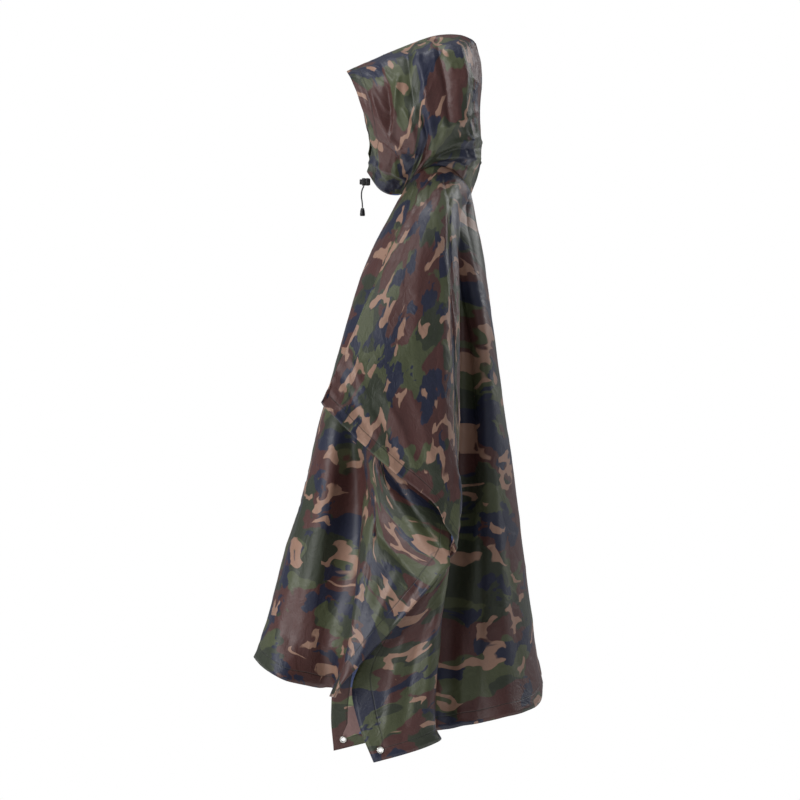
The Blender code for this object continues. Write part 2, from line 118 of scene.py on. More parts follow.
BACK_RIBS = [
    (94, 0, (0.212, -0.022, -0.034), (0.32, -0.084, -0.19), (0.404, -0.138, -0.36), (0.434, -0.165, -0.497)),
    (98, 0, (0.22, -0.006, -0.035), (0.332, -0.046, -0.205), (0.41, -0.072, -0.4), (0.44, -0.077, -0.577)),
    (103, 0, (0.226, 0.006, -0.036), (0.334, -0.012, -0.22), (0.402, -0.014, -0.43), (0.43, -0.002, -0.636)),
    (107, 0, (0.228, 0.013, -0.038), (0.332, 0.008, -0.235), (0.402, 0.01, -0.46), (0.424, 0.018, -0.676)),
    (110, 0, (0.228, 0.018, -0.04), (0.33, 0.017, -0.245), (0.397, 0.022, -0.48), (0.412, 0.033, -0.704)),
    (112, 0, (0.228, 0.022, -0.041), (0.327, 0.024, -0.255), (0.391, 0.03, -0.5), (0.402, 0.044, -0.73)),
    (115, 0, (0.227, 0.026, -0.043), (0.323, 0.031, -0.272), (0.384, 0.039, -0.54), (0.391, 0.046, -0.69),
     (0.396, 0.032, -0.75)),
    (119, 0.2, (0.225, 0.031, -0.045), (0.317, 0.038, -0.29), (0.374, 0.045, -0.58), (0.384, 0.048, -0.735),
     (0.387, -0.042, -0.82)),
    (124, 0.7, (0.221, 0.036, -0.05), (0.31, 0.044, -0.31), (0.364, 0.05, -0.63), (0.376, 0.047, -0.76),
     (0.386, -0.045, -0.89), (0.402, -0.16, -1.0)),
    (129, 1.0, (0.215, 0.042, -0.055), (0.302, 0.049, -0.33), (0.355, 0.053, -0.66), (0.37, 0.044, -0.81),
     (0.396, -0.02, -0.98), (0.45, -0.119, -1.162)),
    (136, 0.9, (0.208, 0.047, -0.062), (0.292, 0.053, -0.35), (0.344, 0.056, -0.68), (0.37, 0.042, -0.88),
     (0.428, -0.035, -1.138)),
    (143, 0.6, (0.199, 0.051, -0.07), (0.27, 0.056, -0.37), (0.318, 0.055, -0.69), (0.352, 0.043, -0.89),
     (0.385, 0.016, -1.116)),
    (148, 0.4, (0.176, 0.056, -0.079), (0.2, 0.053, -0.37), (0.222, 0.046, -0.69), (0.252, 0.032, -0.89),
     (0.296, 0.014, -1.103)),
    (153, 0.2, (0.164, 0.066, -0.084), (0.178, 0.076, -0.38), (0.2, 0.072, -0.69), (0.228, 0.058, -0.89),
     (0.268, 0.044, -1.096)),
    (160, 0.1, (0.148, 0.079, -0.09), (0.184, 0.108, -0.4), (0.24, 0.124, -0.8), (0.285, 0.145, -1.075)),
    (168, 0, (0.108, 0.093, -0.105), (0.13, 0.136, -0.4), (0.155, 0.184, -0.8), (0.18, 0.217, -1.047)),
    (180, 0, (0.0, 0.1, -0.11), (0.0, 0.139, -0.387), (0.0, 0.19, -0.715), (0.0, 0.223, -0.98)),
]
CORNER_RIBS = (5, 23)    # places of the two corners of the sheet, counted from the front centre
TURN_RIBS = (7, 19)      # places where the front and the back edge turn below the sleeve
SMOOTHING = 2            # rounds that even out the rows between the ribs
BODY_STEPS = 2           # columns between two ribs while they are evened out

# Ribs of the left half of the hood, from the brim to the back seam; the first point of the last five lies
# on the neck seam, at the angle given, and the top point of each lies on the seam over the head.
HOOD_RIBS = [
    (None, (0.006, -0.133, 0.037), (0.058, -0.126, 0.096), (0.082, -0.143, 0.168), (0.06, -0.163, 0.222),
     (0.0, -0.175, 0.243)),
    (None, (0.005, -0.103, -0.002), (0.09, -0.096, 0.08), (0.108, -0.098, 0.17), (0.078, -0.112, 0.246),
     (0.0, -0.125, 0.265)),
    (0, (0.108, -0.05, 0.078), (0.124, -0.048, 0.172), (0.092, -0.056, 0.262), (0.0, -0.062, 0.292)),
    (60, (0.12, 0.0, 0.09), (0.13, 0.002, 0.18), (0.098, 0.0, 0.276), (0.0, 0.004, 0.315)),
    (110, (0.11, 0.052, 0.085), (0.116, 0.054, 0.18), (0.09, 0.05, 0.276), (0.0, 0.052, 0.318)),
    (150, (0.064, 0.088, 0.075), (0.07, 0.09, 0.18), (0.056, 0.084, 0.268), (0.0, 0.078, 0.31)),
    (180, (0.0, 0.098, 0.05), (0.0, 0.098, 0.16), (0.0, 0.101, 0.254), (0.0, 0.09, 0.3)),
]
HOOD_NECK_RIB = 2        # the first rib that ends on the neck seam


END_FADE = 0.3           # share of a crease over which it fades towards each end
END_HEIGHT = 0.12        # where on that fade its very end lies
BELL_POWER = 1.6         # of a crease's section: 2 is a plain bell, less is sharper
ZONE_FADE = 0.5          # ribs over which a crease stops at its zone
NOISE_SIZE = 64          # whole numbers after which a random field repeats


def neck_point(angle):
    """Point of the neck seam at an angle in radians from front centre: an ellipse that rises over the
    shoulders."""
    s, c = np.sin(angle), np.cos(angle)
    return np.stack(
        [NECK_HALF_WIDTH * s, NECK_CENTRE_Y - NECK_HALF_DEPTH * c, NECK_LOW_Z + NECK_RISE * np.abs(s) ** 1.6],
        axis=-1,
    )


def hermite(s, start, leaving, end, arriving):
    """Cubic from start to end at share s:
    (2s^3 - 3s^2 + 1) start + (s^3 - 2s^2 + s) leaving + (3s^2 - 2s^3) end + (s^3 - s^2) arriving."""
    return (
        (2 * s**3 - 3 * s**2 + 1) * start
        + (s**3 - 2 * s**2 + s) * leaving
        + (3 * s**2 - 2 * s**3) * end
        + (s**3 - s**2) * arriving
    )


def spline(points, t):
    """Smooth curve through points, read at shares t of its chord length (Hermite, tangents from the
    neighbours)."""
    p = np.array(points, dtype=float)
    knots = np.concatenate([[0.0], np.cumsum(np.linalg.norm(np.diff(p, axis=0), axis=1))])
    slope = np.diff(p, axis=0) / np.diff(knots)[:, None]
    tangent = np.vstack([slope[:1], (slope[1:] + slope[:-1]) / 2, slope[-1:]])
    x = np.asarray(t) * knots[-1]
    k = np.clip(np.searchsorted(knots, x, side="right") - 1, 0, len(p) - 2)
    h = (knots[k + 1] - knots[k])[:, None]
    s = ((x - knots[k]) / h[:, 0])[:, None]
    return hermite(s, p[k], h * tangent[k], p[k + 1], h * tangent[k + 1])


def across(ribs, steps, closed, corners=(), t=None):
    """Columns between ribs: Hermite curves from rib to rib, row by row, whose tangents break near the
    edge at the corners of the sheet.  steps gives the number of columns from each rib to the next."""
    count = len(ribs)
    if closed:
        before, after = np.roll(ribs, 1, axis=0), np.roll(ribs, -1, axis=0)
    else:
        before = np.concatenate([ribs[:1], ribs[:-1]])
        after = np.concatenate([ribs[1:], ribs[-1:]])
    into, out = ribs - before, after - ribs
    if not closed:
        into[0], out[-1] = out[0], into[-1]
    tangent_in, tangent_out = (into + out) / 2, (into + out) / 2
    for c in corners:
        share = np.clip((t - 1 + CORNER_REACH) / CORNER_REACH, 0, 1)[:, None] ** 2
        tangent_in[c] = tangent_in[c] * (1 - share) + into[c] * share
        tangent_out[c] = tangent_out[c] * (1 - share) + out[c] * share
    first = np.repeat(np.arange(len(steps)), steps)
    s = np.concatenate([np.arange(n) / n for n in steps])[:, None, None]
    second = (first + 1) % count
    columns = hermite(s, ribs[first], tangent_out[first], ribs[second], tangent_in[second])
    return columns if closed else np.concatenate([columns, ribs[-1:]])


def between(values, steps, closed=False):
    """Even steps between the ribs' own values, column for column; closed goes on once round, by a full
    turn."""
    v = np.append(values, values[0] + 2 * math.pi) if closed else np.array(values, dtype=float)
    first = np.repeat(np.arange(len(steps)), steps)
    s = np.concatenate([np.arange(n) / n for n in steps])
    out = v[first] * (1 - s) + v[first + 1] * s
    return out if closed else np.append(out, v[-1])


def unit(vectors):
    """The same directions at length 1."""
    return vectors / np.maximum(np.linalg.norm(vectors, axis=-1, keepdims=True), 1e-12)


def grid_normals(grid, closed):
    """Unit normals of a (column, row) grid: the cross product of the mean directions of the edges at each
    point."""
    steps_v = unit(np.diff(grid, axis=1))
    dv = np.concatenate([steps_v[:, :1], steps_v[:, 1:] + steps_v[:, :-1], steps_v[:, -1:]], axis=1)
    if closed:
        steps_u = unit(np.roll(grid, -1, axis=0) - grid)
        du = steps_u + np.roll(steps_u, 1, axis=0)
    else:
        steps_u = unit(np.diff(grid, axis=0))
        du = np.concatenate([steps_u[:1], steps_u[1:] + steps_u[:-1], steps_u[-1:]])
    return unit(np.cross(dv, du))


def noise(p, q, seed):
    """Smooth random field over a plane, about -1 to 1: random heights at whole numbers with an eased
    blend between."""
    size = NOISE_SIZE
    table = np.random.default_rng(seed).uniform(-1, 1, (size, size))
    i, j = np.floor(p).astype(int), np.floor(q).astype(int)
    a, b = p - i, q - j
    a, b = a * a * (3 - 2 * a), b * b * (3 - 2 * b)
    low = table[i % size, j % size] * (1 - a) + table[(i + 1) % size, j % size] * a
    high = table[i % size, (j + 1) % size] * (1 - a) + table[(i + 1) % size, (j + 1) % size] * a
    return low * (1 - b) + high * b


def crumple(p, q, seed):
    """Sharp-edged random relief, 0 to 1: one minus the size of a smooth field, so that ridges stand where
    it is 0."""
    first = 1 - np.abs(noise(p, q, seed) + 0.5 * noise(2.1 * p + 7, 2.1 * q + 3, seed + 1))
    return np.clip(first, 0, 1) ** 3


def along_path(y, z, path):
    """Distance in the side view from each point to a drawn line, and how far along the line its nearest
    place is."""
    path = np.array(path, dtype=float)
    best = np.full(y.shape, 1e9)
    place = np.zeros(y.shape)
    lengths = np.linalg.norm(np.diff(path, axis=0), axis=1)
    total, start = lengths.sum(), 0.0
    for (ya, za), (yb, zb), length in zip(path, path[1:], lengths):
        k = ((y - ya) * (yb - ya) + (z - za) * (zb - za)) / length**2
        k = np.clip(k, 0, 1)
        d = np.hypot(y - ya - k * (yb - ya), z - za - k * (zb - za))
        near = d < best
        best = np.where(near, d, best)
        place = np.where(near, (start + k * length) / total, place)
        start += length
    return best, place


def crease(grid, number, line, width, height, zone=None, sides=(1,)):
    """Relief of one crease: a bell across a line drawn in the side view, fading towards both ends of the
    line.  zone holds the rib numbers that it stays between, and sides the sides of the garment that have
    it."""
    d, place = along_path(grid[..., 1], grid[..., 2], line)
    fade = np.clip((np.minimum(place, 1 - place) + END_HEIGHT) / END_FADE, 0, 1)
    bell = np.exp(-((d / width) ** BELL_POWER)) * fade
    if zone:
        low, high = zone
        rib = number[:, None]
        bell = bell * np.clip((rib - low) / ZONE_FADE + 1, 0, 1) * np.clip((high - rib) / ZONE_FADE + 1, 0, 1)
    here = np.zeros(grid.shape[:2])
    for side in sides:
        here = np.maximum(here, (np.sign(grid[..., 0]) == side) * bell)
    return height * here


def grid_faces(columns, rows):
    """Four-cornered faces between the neighbours of a (column, row) grid."""
    at = np.arange(columns * rows).reshape(columns, rows)
    return np.stack([at[:-1, :-1], at[:-1, 1:], at[1:, 1:], at[1:, :-1]], axis=-1).reshape(-1, 4)


def put_mesh(name, points, faces, uv, materials):
    """Object from whole arrays: points (n, 3), faces (m, 4) and one flat place (n, 2) for each point."""
    mesh = bpy.data.meshes.new(name)
    mesh.from_pydata(points.tolist(), [], faces.tolist())
    mesh.shade_smooth()
    corner = np.zeros(len(mesh.loops), dtype=np.int32)
    mesh.loops.foreach_get("vertex_index", corner)
    layer = mesh.uv_layers.new(name="flat")
    layer.data.foreach_set("uv", uv[corner].astype(np.float32).ravel())
    for material in materials:
        mesh.materials.append(material)
    obj = bpy.data.objects.new(name, mesh)
    bpy.context.scene.collection.objects.link(obj)
    return obj


def close_up(obj):
    """Joins points that lie on each other and turns every face outwards."""
    work = bmesh.new()
    work.from_mesh(obj.data)
    bmesh.ops.remove_doubles(work, verts=work.verts, dist=1e-7)
    bmesh.ops.recalc_face_normals(work, faces=work.faces)
    work.to_mesh(obj.data)
    work.free()


def put_sheet(name, grid, uv, edge, outside, inside, thickness, cut=()):
    """One cut piece of cloth: a (column, row) grid with two skins, and its distance to the nearest hem as
    "edge".  The points in cut go, with the faces round them."""
    faces = grid_faces(*grid.shape[:2])
    obj = put_mesh(name, grid.reshape(-1, 3), faces, uv.reshape(-1, 2), [outside, inside])
    far = obj.data.attributes.new("edge", "FLOAT", "POINT")
    far.data.foreach_set("value", edge.astype(np.float32).ravel())
    if cut:
        work = bmesh.new()
        work.from_mesh(obj.data)
        work.verts.ensure_lookup_table()
        bmesh.ops.delete(work, geom=[work.verts[k] for k in cut], context="VERTS")
        work.to_mesh(obj.data)
        work.free()
    skin = obj.modifiers.new("cloth thickness", "SOLIDIFY")
    skin.thickness = thickness
    skin.offset = 0
    skin.material_offset = 1
    skin.use_quality_normals = True
    return obj


# Body sheet

CLOTH_THICKNESS = 0.0012
BODY_ROWS = 132
COLUMN_WIDTH = 0.0085    # of the finished sheets, at the hem
CORNER_REACH = 0.18      # share of a column, from the edge up, where the corners of the sheet are sharp
RELAX_ROUNDS = 300       # that even out the print over the cloth
RELAX_GAIN = 1.6

HEM_WIDTH = 0.026
HEM_STEP = 0.0008
HEM_PUCKERS = 0.0010     # heights from here on
NECK_GATHERS = 0.0022
LONG_FOLDS = 0.0055
WIDE_FOLDS = 0.0075
CRUMPLES = 0.0024
FINE_CRUMPLES = 0.0012
CUFF_WRINKLES = 0.0026
CUFF_CRUMPLES = 0.0040
CRUMPLE_MEAN = 0.3       # of the crumple field, taken off so that it neither lifts nor lowers the cloth

# Creases of the sheet, as lines of (y, z) points in the side view: line, half width, height (minus is a
# trough), the rib numbers it stays between, and the side of the garment that has it where only one does.
SHEET_CREASES = [
    # deep valley beside the front panel
    ([(-0.166, -0.482), (-0.172, -0.636), (-0.187, -0.882), (-0.207, -1.025)],
     0.017, -0.036, (1.5, 4.8)),
    # soft folds of the front panel
    ([(-0.197, -0.533), (-0.23, -0.759), (-0.258, -1.013)], 0.02, 0.007, (0, 3)),
    ([(-0.226, -0.513), (-0.267, -0.759), (-0.299, -0.98)], 0.016, -0.005, (0, 3)),
    ([(-0.271, -0.677), (-0.303, -0.841), (-0.33, -0.968)], 0.014, 0.004, (0, 2.5), (1,)),
    # edge and valley behind the sleeve
    ([(0.055, -0.045), (0.051, -0.226), (0.051, -0.472), (0.047, -0.636), (0.039, -0.709)],
     0.008, 0.01, (18, 25)),
    ([(0.074, -0.033), (0.074, -0.226), (0.074, -0.472), (0.068, -0.636), (0.051, -0.779), (0.033, -0.902),
      (0.018, -1.095)], 0.016, -0.04, (21.5, 28.5)),
    # long folds of the back panel
    ([(0.086, -0.103), (0.103, -0.308), (0.123, -0.533), (0.139, -0.841), (0.15, -1.062)],
     0.018, 0.008, (24, 30)),
    ([(0.082, -0.226), (0.094, -0.533), (0.098, -0.841), (0.09, -1.078)], 0.014, -0.008, (24, 30)),
    ([(0.107, -0.431), (0.156, -0.759), (0.185, -1.05)], 0.014, -0.005, (25, 30), (1,)),
    ([(0.047, -0.841), (0.057, -0.964), (0.062, -1.091)], 0.012, 0.006, (22, 28)),
    # folds of the sleeve from the shoulder
    ([(-0.004, -0.021), (-0.027, -0.164), (-0.039, -0.308), (-0.025, -0.451)],
     0.016, 0.004, (13, 20)),
    ([(0.027, -0.031), (0.016, -0.205), (0.008, -0.369), (0.016, -0.533)], 0.014, -0.005, (14, 22)),
    ([(-0.037, -0.051), (-0.07, -0.148), (-0.098, -0.226)], 0.01, -0.003, (13, 18)),
    # creases round the cuff
    ([(-0.17, -0.332), (-0.144, -0.398), (-0.117, -0.467)], 0.007, 0.003, (13, 18)),
    ([(-0.189, -0.373), (-0.164, -0.422), (-0.144, -0.472)], 0.006, -0.003, (13, 18)),
    ([(-0.207, -0.402), (-0.187, -0.435), (-0.174, -0.463)], 0.004, 0.0025, (13, 17)),
    ([(-0.137, -0.426), (-0.096, -0.482), (-0.066, -0.558)], 0.008, -0.004, (13, 19)),
    ([(-0.103, -0.414), (-0.062, -0.492), (-0.035, -0.578)], 0.008, 0.004, (13, 20)),
    ([(-0.123, -0.488), (-0.105, -0.515), (-0.09, -0.549)], 0.0045, 0.0025, (13, 19)),
    ([(-0.164, -0.447), (-0.135, -0.48), (-0.119, -0.521)], 0.0045, -0.0025, (13, 18)),
    ([(-0.209, -0.426), (-0.182, -0.439), (-0.156, -0.435)], 0.0045, -0.003, (13, 17)),
    ([(-0.057, -0.39), (-0.021, -0.472), (0.0, -0.59)], 0.01, 0.004, (14, 22)),
    # pull of the side towards its overlap below the sleeve
    ([(-0.135, -0.537), (-0.074, -0.636), (0.012, -0.759)], 0.013, 0.008, (3, 9)),
    ([(-0.156, -0.574), (-0.111, -0.697), (-0.025, -0.8)], 0.012, -0.008, (3, 8)),
    ([(-0.082, -0.582), (-0.035, -0.66), (0.021, -0.742)], 0.009, -0.006, (5, 11)),
    ([(0.016, -0.775), (-0.025, -0.853), (-0.086, -0.943), (-0.144, -1.013)], 0.01, 0.006, (4, 8)),
    ([(-0.016, -0.783), (-0.07, -0.865), (-0.135, -0.964)], 0.01, -0.006, (3.6, 8)),
    ([(-0.07, -0.779), (-0.115, -0.882), (-0.164, -0.996)], 0.01, 0.005, (3.6, 7)),
    ([(-0.115, -0.677), (-0.139, -0.82), (-0.168, -0.964)], 0.01, -0.004, (3.4, 7)),
    # back corner flap
    ([(0.021, -0.8), (-0.004, -0.923), (-0.016, -1.07)], 0.01, 0.006, (19, 25)),
    ([(-0.004, -0.841), (-0.041, -0.964), (-0.062, -1.115)], 0.011, -0.006, (19, 25)),
    ([(-0.045, -0.882), (-0.082, -1.005), (-0.098, -1.132)], 0.009, 0.004, (19, 24)),
    # gathers below the neck seam
    ([(-0.043, 0.025), (-0.051, -0.004), (-0.066, -0.037)], 0.0045, 0.004, (4, 14)),
    ([(-0.031, 0.027), (-0.037, 0.0), (-0.049, -0.033)], 0.004, -0.003, (5, 16)),
    ([(-0.018, 0.031), (-0.023, 0.004), (-0.031, -0.029)], 0.0045, 0.004, (7, 20)),
    ([(-0.002, 0.033), (-0.004, 0.004), (-0.008, -0.033)], 0.0045, -0.003, (9, 24)),
    ([(0.041, 0.029), (0.049, -0.004), (0.062, -0.041)], 0.006, 0.004, (16, 28)),
    ([(0.025, 0.029), (0.031, -0.008), (0.045, -0.049)], 0.005, -0.004, (14, 26)),
    ([(-0.07, -0.041), (-0.098, -0.115), (-0.123, -0.205)], 0.008, 0.003, (2, 10)),
]


def body_surface():
    """Fine mid-surface of the whole sheet as closed columns round the body, from front centre by the left
    side.  Ribs are splines from the neck; columns run across them as Hermite curves, twice: two steps a
    rib, evened out, then as many steps as the hem needs.  Gives the points, their rib numbers and their
    flat places."""
    t = np.linspace(0, 1, BODY_ROWS)
    near = FRONT_RIBS + [RIDGE_RIB] + BACK_RIBS
    ribs, angles = [], []
    for angle, _, *points in near:
        ribs.append(spline([neck_point(np.radians(float(angle))), *points], t))
        angles.append(math.radians(angle))
    for angle, swing, *points in reversed(near[1:-1]):
        shifted = []
        for x, y, z in points:
            share = min(1.0, max(0.0, (SWING_TOP - z) / SWING_DEPTH))
            shifted.append((x, y - FAR_SWING * swing * share, z))
        ribs.append(spline([neck_point(np.radians(float(angle))), *shifted], t) * (-1, 1, 1))
        angles.append(2 * math.pi - math.radians(angle))
    turns = CORNER_RIBS + TURN_RIBS
    turns = turns + tuple(len(ribs) - c for c in turns)
    grid = across(np.array(ribs), [BODY_STEPS] * len(ribs), True, turns, t)
    ridge = len(FRONT_RIBS) * BODY_STEPS
    free = np.ones(len(grid), dtype=bool)
    free[[ridge, -ridge]] = False
    share = np.clip((1 - t) * 13, 0, 1)[:, None]
    for _ in range(SMOOTHING):
        mean = (np.roll(grid, 1, axis=0) + 2 * grid + np.roll(grid, -1, axis=0)) / 4
        grid[free] += ((mean - grid) * share)[free]
    angles = between(np.array(angles), [BODY_STEPS] * len(ribs), closed=True)
    grid[:, 0] = neck_point(angles)

    wide = np.linalg.norm(np.roll(grid, -1, axis=0) - grid, axis=-1)
    widths = np.maximum(wide[:, -1], wide[:, BODY_ROWS // 2])
    steps = np.maximum(3, np.round(widths / COLUMN_WIDTH)).astype(int)
    number = between(np.arange(len(grid) + 1.0) / BODY_STEPS, steps)[:-1]
    number = np.where(number > len(near) - 1, len(ribs) - number, number)
    angle = between(np.append(angles, 2 * math.pi), steps)[:-1]
    fine = across(grid, steps, True, tuple(BODY_STEPS * c for c in turns), t)
    fine[:, 0] = neck_point(angle)
    return fine, number, flat_places(fine, number, angle), t


def flat_places(grid, number, angle):
    """Place of every point on the flat sheet: straight from its place on the neck hole to its place on
    the edge, by its share of the column's length.  The edge's own lengths are shared out over the sides
    of the rectangle."""
    edge = np.linalg.norm(np.roll(grid[:, -1], -1, axis=0) - grid[:, -1], axis=-1)
    run = np.concatenate([[0.0], np.cumsum(edge)])
    total = run[-1]
    run = run[:-1]
    corners = [np.argmin(np.abs(number[: len(number) // 2] - k)) for k in CORNER_RIBS]
    ridge = np.argmin(np.abs(number[: len(number) // 2] - len(FRONT_RIBS)))
    middle = np.argmax(number)
    right = [len(grid) - c for c in (corners[1], ridge, corners[0])]
    stops = [0, corners[0], ridge, corners[1], middle, *right]
    places = [
        (0, -FLAT_FRONT), (FLAT_HALF_WIDTH, -FLAT_FRONT), (FLAT_HALF_WIDTH, 0), (FLAT_HALF_WIDTH, FLAT_BACK),
        (0, FLAT_BACK), (-FLAT_HALF_WIDTH, FLAT_BACK), (-FLAT_HALF_WIDTH, 0), (-FLAT_HALF_WIDTH, -FLAT_FRONT),
        (0, -FLAT_FRONT),
    ]
    knots = np.append(run[stops], total)
    outer = np.stack([np.interp(run, knots, [p[k] for p in places]) for k in (0, 1)], axis=-1)
    start = np.stack([NECK_HALF_WIDTH * np.sin(angle), -NECK_HALF_DEPTH * np.cos(angle)], axis=-1)
    down = np.linalg.norm(np.diff(grid, axis=1), axis=-1)
    share = np.concatenate([np.zeros((len(grid), 1)), np.cumsum(down, axis=1)], axis=1)
    share = (share / share[:, -1:])[..., None]
    return start[:, None] * (1 - share) + outer[:, None] * share


def relaxed(flat, grid, rounds):
    """Flat places moved so that neighbours lie as far apart as on the draped cloth: each round puts every
    point at the mean of the places its eight neighbours want it at, which are their own plus the true
    distance."""
    places = flat.copy()
    rows = grid.shape[1]
    reach = []
    for step, shift in ((1, 0), (0, 1), (1, 1), (1, -1)):
        low, high = max(0, -shift), min(rows, rows - shift)
        here = slice(low, high)
        there = slice(low + shift, high + shift)
        length = np.linalg.norm(np.roll(grid, -step, axis=0)[:, there] - grid[:, here], axis=-1)
        reach.append((step, here, there, length[..., None]))
    for _ in range(rounds):
        total = np.zeros_like(places)
        count = np.zeros((*places.shape[:2], 1))
        for step, here, there, length in reach:
            other = np.roll(places, -step, axis=0)
            gap = other[:, there] - places[:, here]
            push = gap * (1 - length / np.maximum(np.linalg.norm(gap, axis=-1, keepdims=True), 1e-9)) / 2
            total[:, here] += push
            count[:, here] += 1
            back = np.zeros_like(places)
            back[:, there] = -push
            more = np.zeros_like(count)
            more[:, there] = 1
            total += np.roll(back, step, axis=0)
            count += np.roll(more, step, axis=0)
        places += RELAX_GAIN * total / count
    return places


def edge_distance(flat):
    """Distance of each flat place to the rectangle's nearest side."""
    x, y = flat[..., 0], flat[..., 1]
    return np.minimum(FLAT_HALF_WIDTH - np.abs(x), np.where(y > 0, FLAT_BACK - y, FLAT_FRONT + y))


def sheet_relief(grid, number, flat, edge, t):
    """Height of the cloth over its smooth form: drawn creases, gathers below the neck seam, long soft
    folds, fine crumples, and the thick turned hem with its puckers."""
    x, y = flat[..., 0], flat[..., 1]
    relief = np.zeros(grid.shape[:2])
    for line, width, height, zone, *sides in SHEET_CREASES:
        relief += crease(grid, number, line, width, height, zone, sides[0] if sides else (1, -1))
    radius = np.hypot(x, y)
    around = np.arctan2(x, -y)
    gather = np.exp(-((radius - 0.09) / 0.05) ** 2) * (1 - np.exp(-((radius - 0.07) / 0.012) ** 2))
    relief += NECK_GATHERS * gather * noise(around * 9, radius * 5, 11)
    relief += LONG_FOLDS * t * noise(around * 7 + 3, radius * 1.6, 12) * np.clip(edge / 0.05, 0.3, 1)
    relief += WIDE_FOLDS * t * noise(around * 3.2 + 1, radius * 0.9, 13)
    relief += CRUMPLES * (crumple(x * 6 + y * 2, y * 4 - x, 21) - CRUMPLE_MEAN) * np.clip(t * 3, 0, 1)
    relief += FINE_CRUMPLES * (crumple(x * 15 + 5, y * 11 + x * 3, 31) - CRUMPLE_MEAN)
    near_hem = np.clip(1 - edge / 0.045, 0, 1)
    relief += HEM_PUCKERS * near_hem * noise(x * 45, y * 45, 41)
    cuff = np.clip(1.6 - np.abs(y - 0.10) / 0.25, 0, 1) * (np.abs(x) > FLAT_HALF_WIDTH / 2)
    relief += CUFF_WRINKLES * cuff * np.clip(1 - edge / 0.09, 0, 1) * noise(y * 95 + x * 50, x * 22, 43)
    wrinkled = crumple(y * 19 + x * 9, x * 9, 45) - CRUMPLE_MEAN
    relief += CUFF_CRUMPLES * cuff * np.clip(1 - edge / 0.16, 0, 1) * wrinkled
    relief += np.where(edge < HEM_WIDTH, HEM_STEP, 0.0)
    return relief


def node_disc(node):
    """Middle and outward axis of one flat round node of the frame."""
    points = np.array([v.co[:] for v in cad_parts[node].data.vertices])
    centre = (points.min(axis=0) + points.max(axis=0)) / 2
    spread = np.linalg.eigh(np.cov((points - centre).T))[1]
    return centre, spread[:, 0] * (1 if spread[0, 0] * centre[0] > 0 else -1)


def eyelet_holes(grid):
    """Round holes for the eyelets.  The grid point nearest each eyelet is the one to cut away, and its
    eight neighbours move onto a circle of EYELET_CUT in the plane of the cloth:  p = c + r * d / |d|."""
    normals = grid_normals(grid, False)
    cut = []
    for side in ("left", "right"):
        aim, axis = node_disc(f"eyelet_back_{side}")
        far = np.linalg.norm(grid - aim, axis=2)
        i, j = np.unravel_index(int(far.argmin()), far.shape)
        normal = normals[i, j] * (1 if normals[i, j] @ axis > 0 else -1)
        centre = aim - normal * ((aim - grid[i, j]) @ normal)
        block = grid[i - 1 : i + 2, j - 1 : j + 2]
        away = block - centre
        away = away - (away @ normal)[..., None] * normal
        grid[i - 1 : i + 2, j - 1 : j + 2] = centre + EYELET_CUT * unit(away)
        cut.append(i * grid.shape[1] + j)
        eyelet_places[side] = (centre, normal)
    return cut


def build_sheets(outside, inside, thickness):
    """Front and back of the body sheet, parted along the ridges over the arms."""
    grid, number, flat, t = body_surface()
    edge = edge_distance(flat)
    normals = grid_normals(grid, True)
    relief = sheet_relief(grid, number, flat, edge, t)
    calm = np.clip(t / 0.02, 0, 1)
    printed = relaxed(flat, grid, RELAX_ROUNDS)
    grid = grid + normals * (relief * calm)[..., None]
    half = len(grid) // 2
    ridge = int(np.argmin(np.abs(number[:half] - len(FRONT_RIBS))))
    columns = len(grid)
    for name, node, chosen, length in (
        ("front_sheet", "body_front", np.arange(-ridge, ridge + 1) % columns, FLAT_FRONT),
        ("back_sheet", "body_back", np.arange(ridge, columns - ridge + 1), FLAT_BACK),
    ):
        piece = grid[chosen].copy()
        cut = eyelet_holes(piece) if node == "body_back" else []
        obj = put_sheet(name, piece, printed[chosen], edge[chosen], outside, inside, thickness, cut)
        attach(obj, "root")
        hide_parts(node)


# Hood

HOOD_ROWS = 110
HOOD_COLUMNS = 26        # from each rib to the next
CHANNEL_PLACE = 0.011    # middle of the cord channel, from the brim
CHANNEL_WIDTH = 0.0065
SEAM_LAP = 0.0003        # of the hood halves over each other
FAR_SIDE_SHIFT = (0.006, -0.008)    # of the right half's creases, so that the halves differ
CREASE_GAIN = 1.7        # on the heights of HOOD_CREASES
CHANNEL_HEIGHT = 0.0016
CHANNEL_GATHERS = 0.0020
HOOD_NECK_GATHERS = 0.0022
HOOD_CRUMPLES = 0.0046
HOOD_FINE_CRUMPLES = 0.0022
HOOD_PRINT_PLACE = (3.1, 0.4)      # where on the printed cloth the hood halves are cut

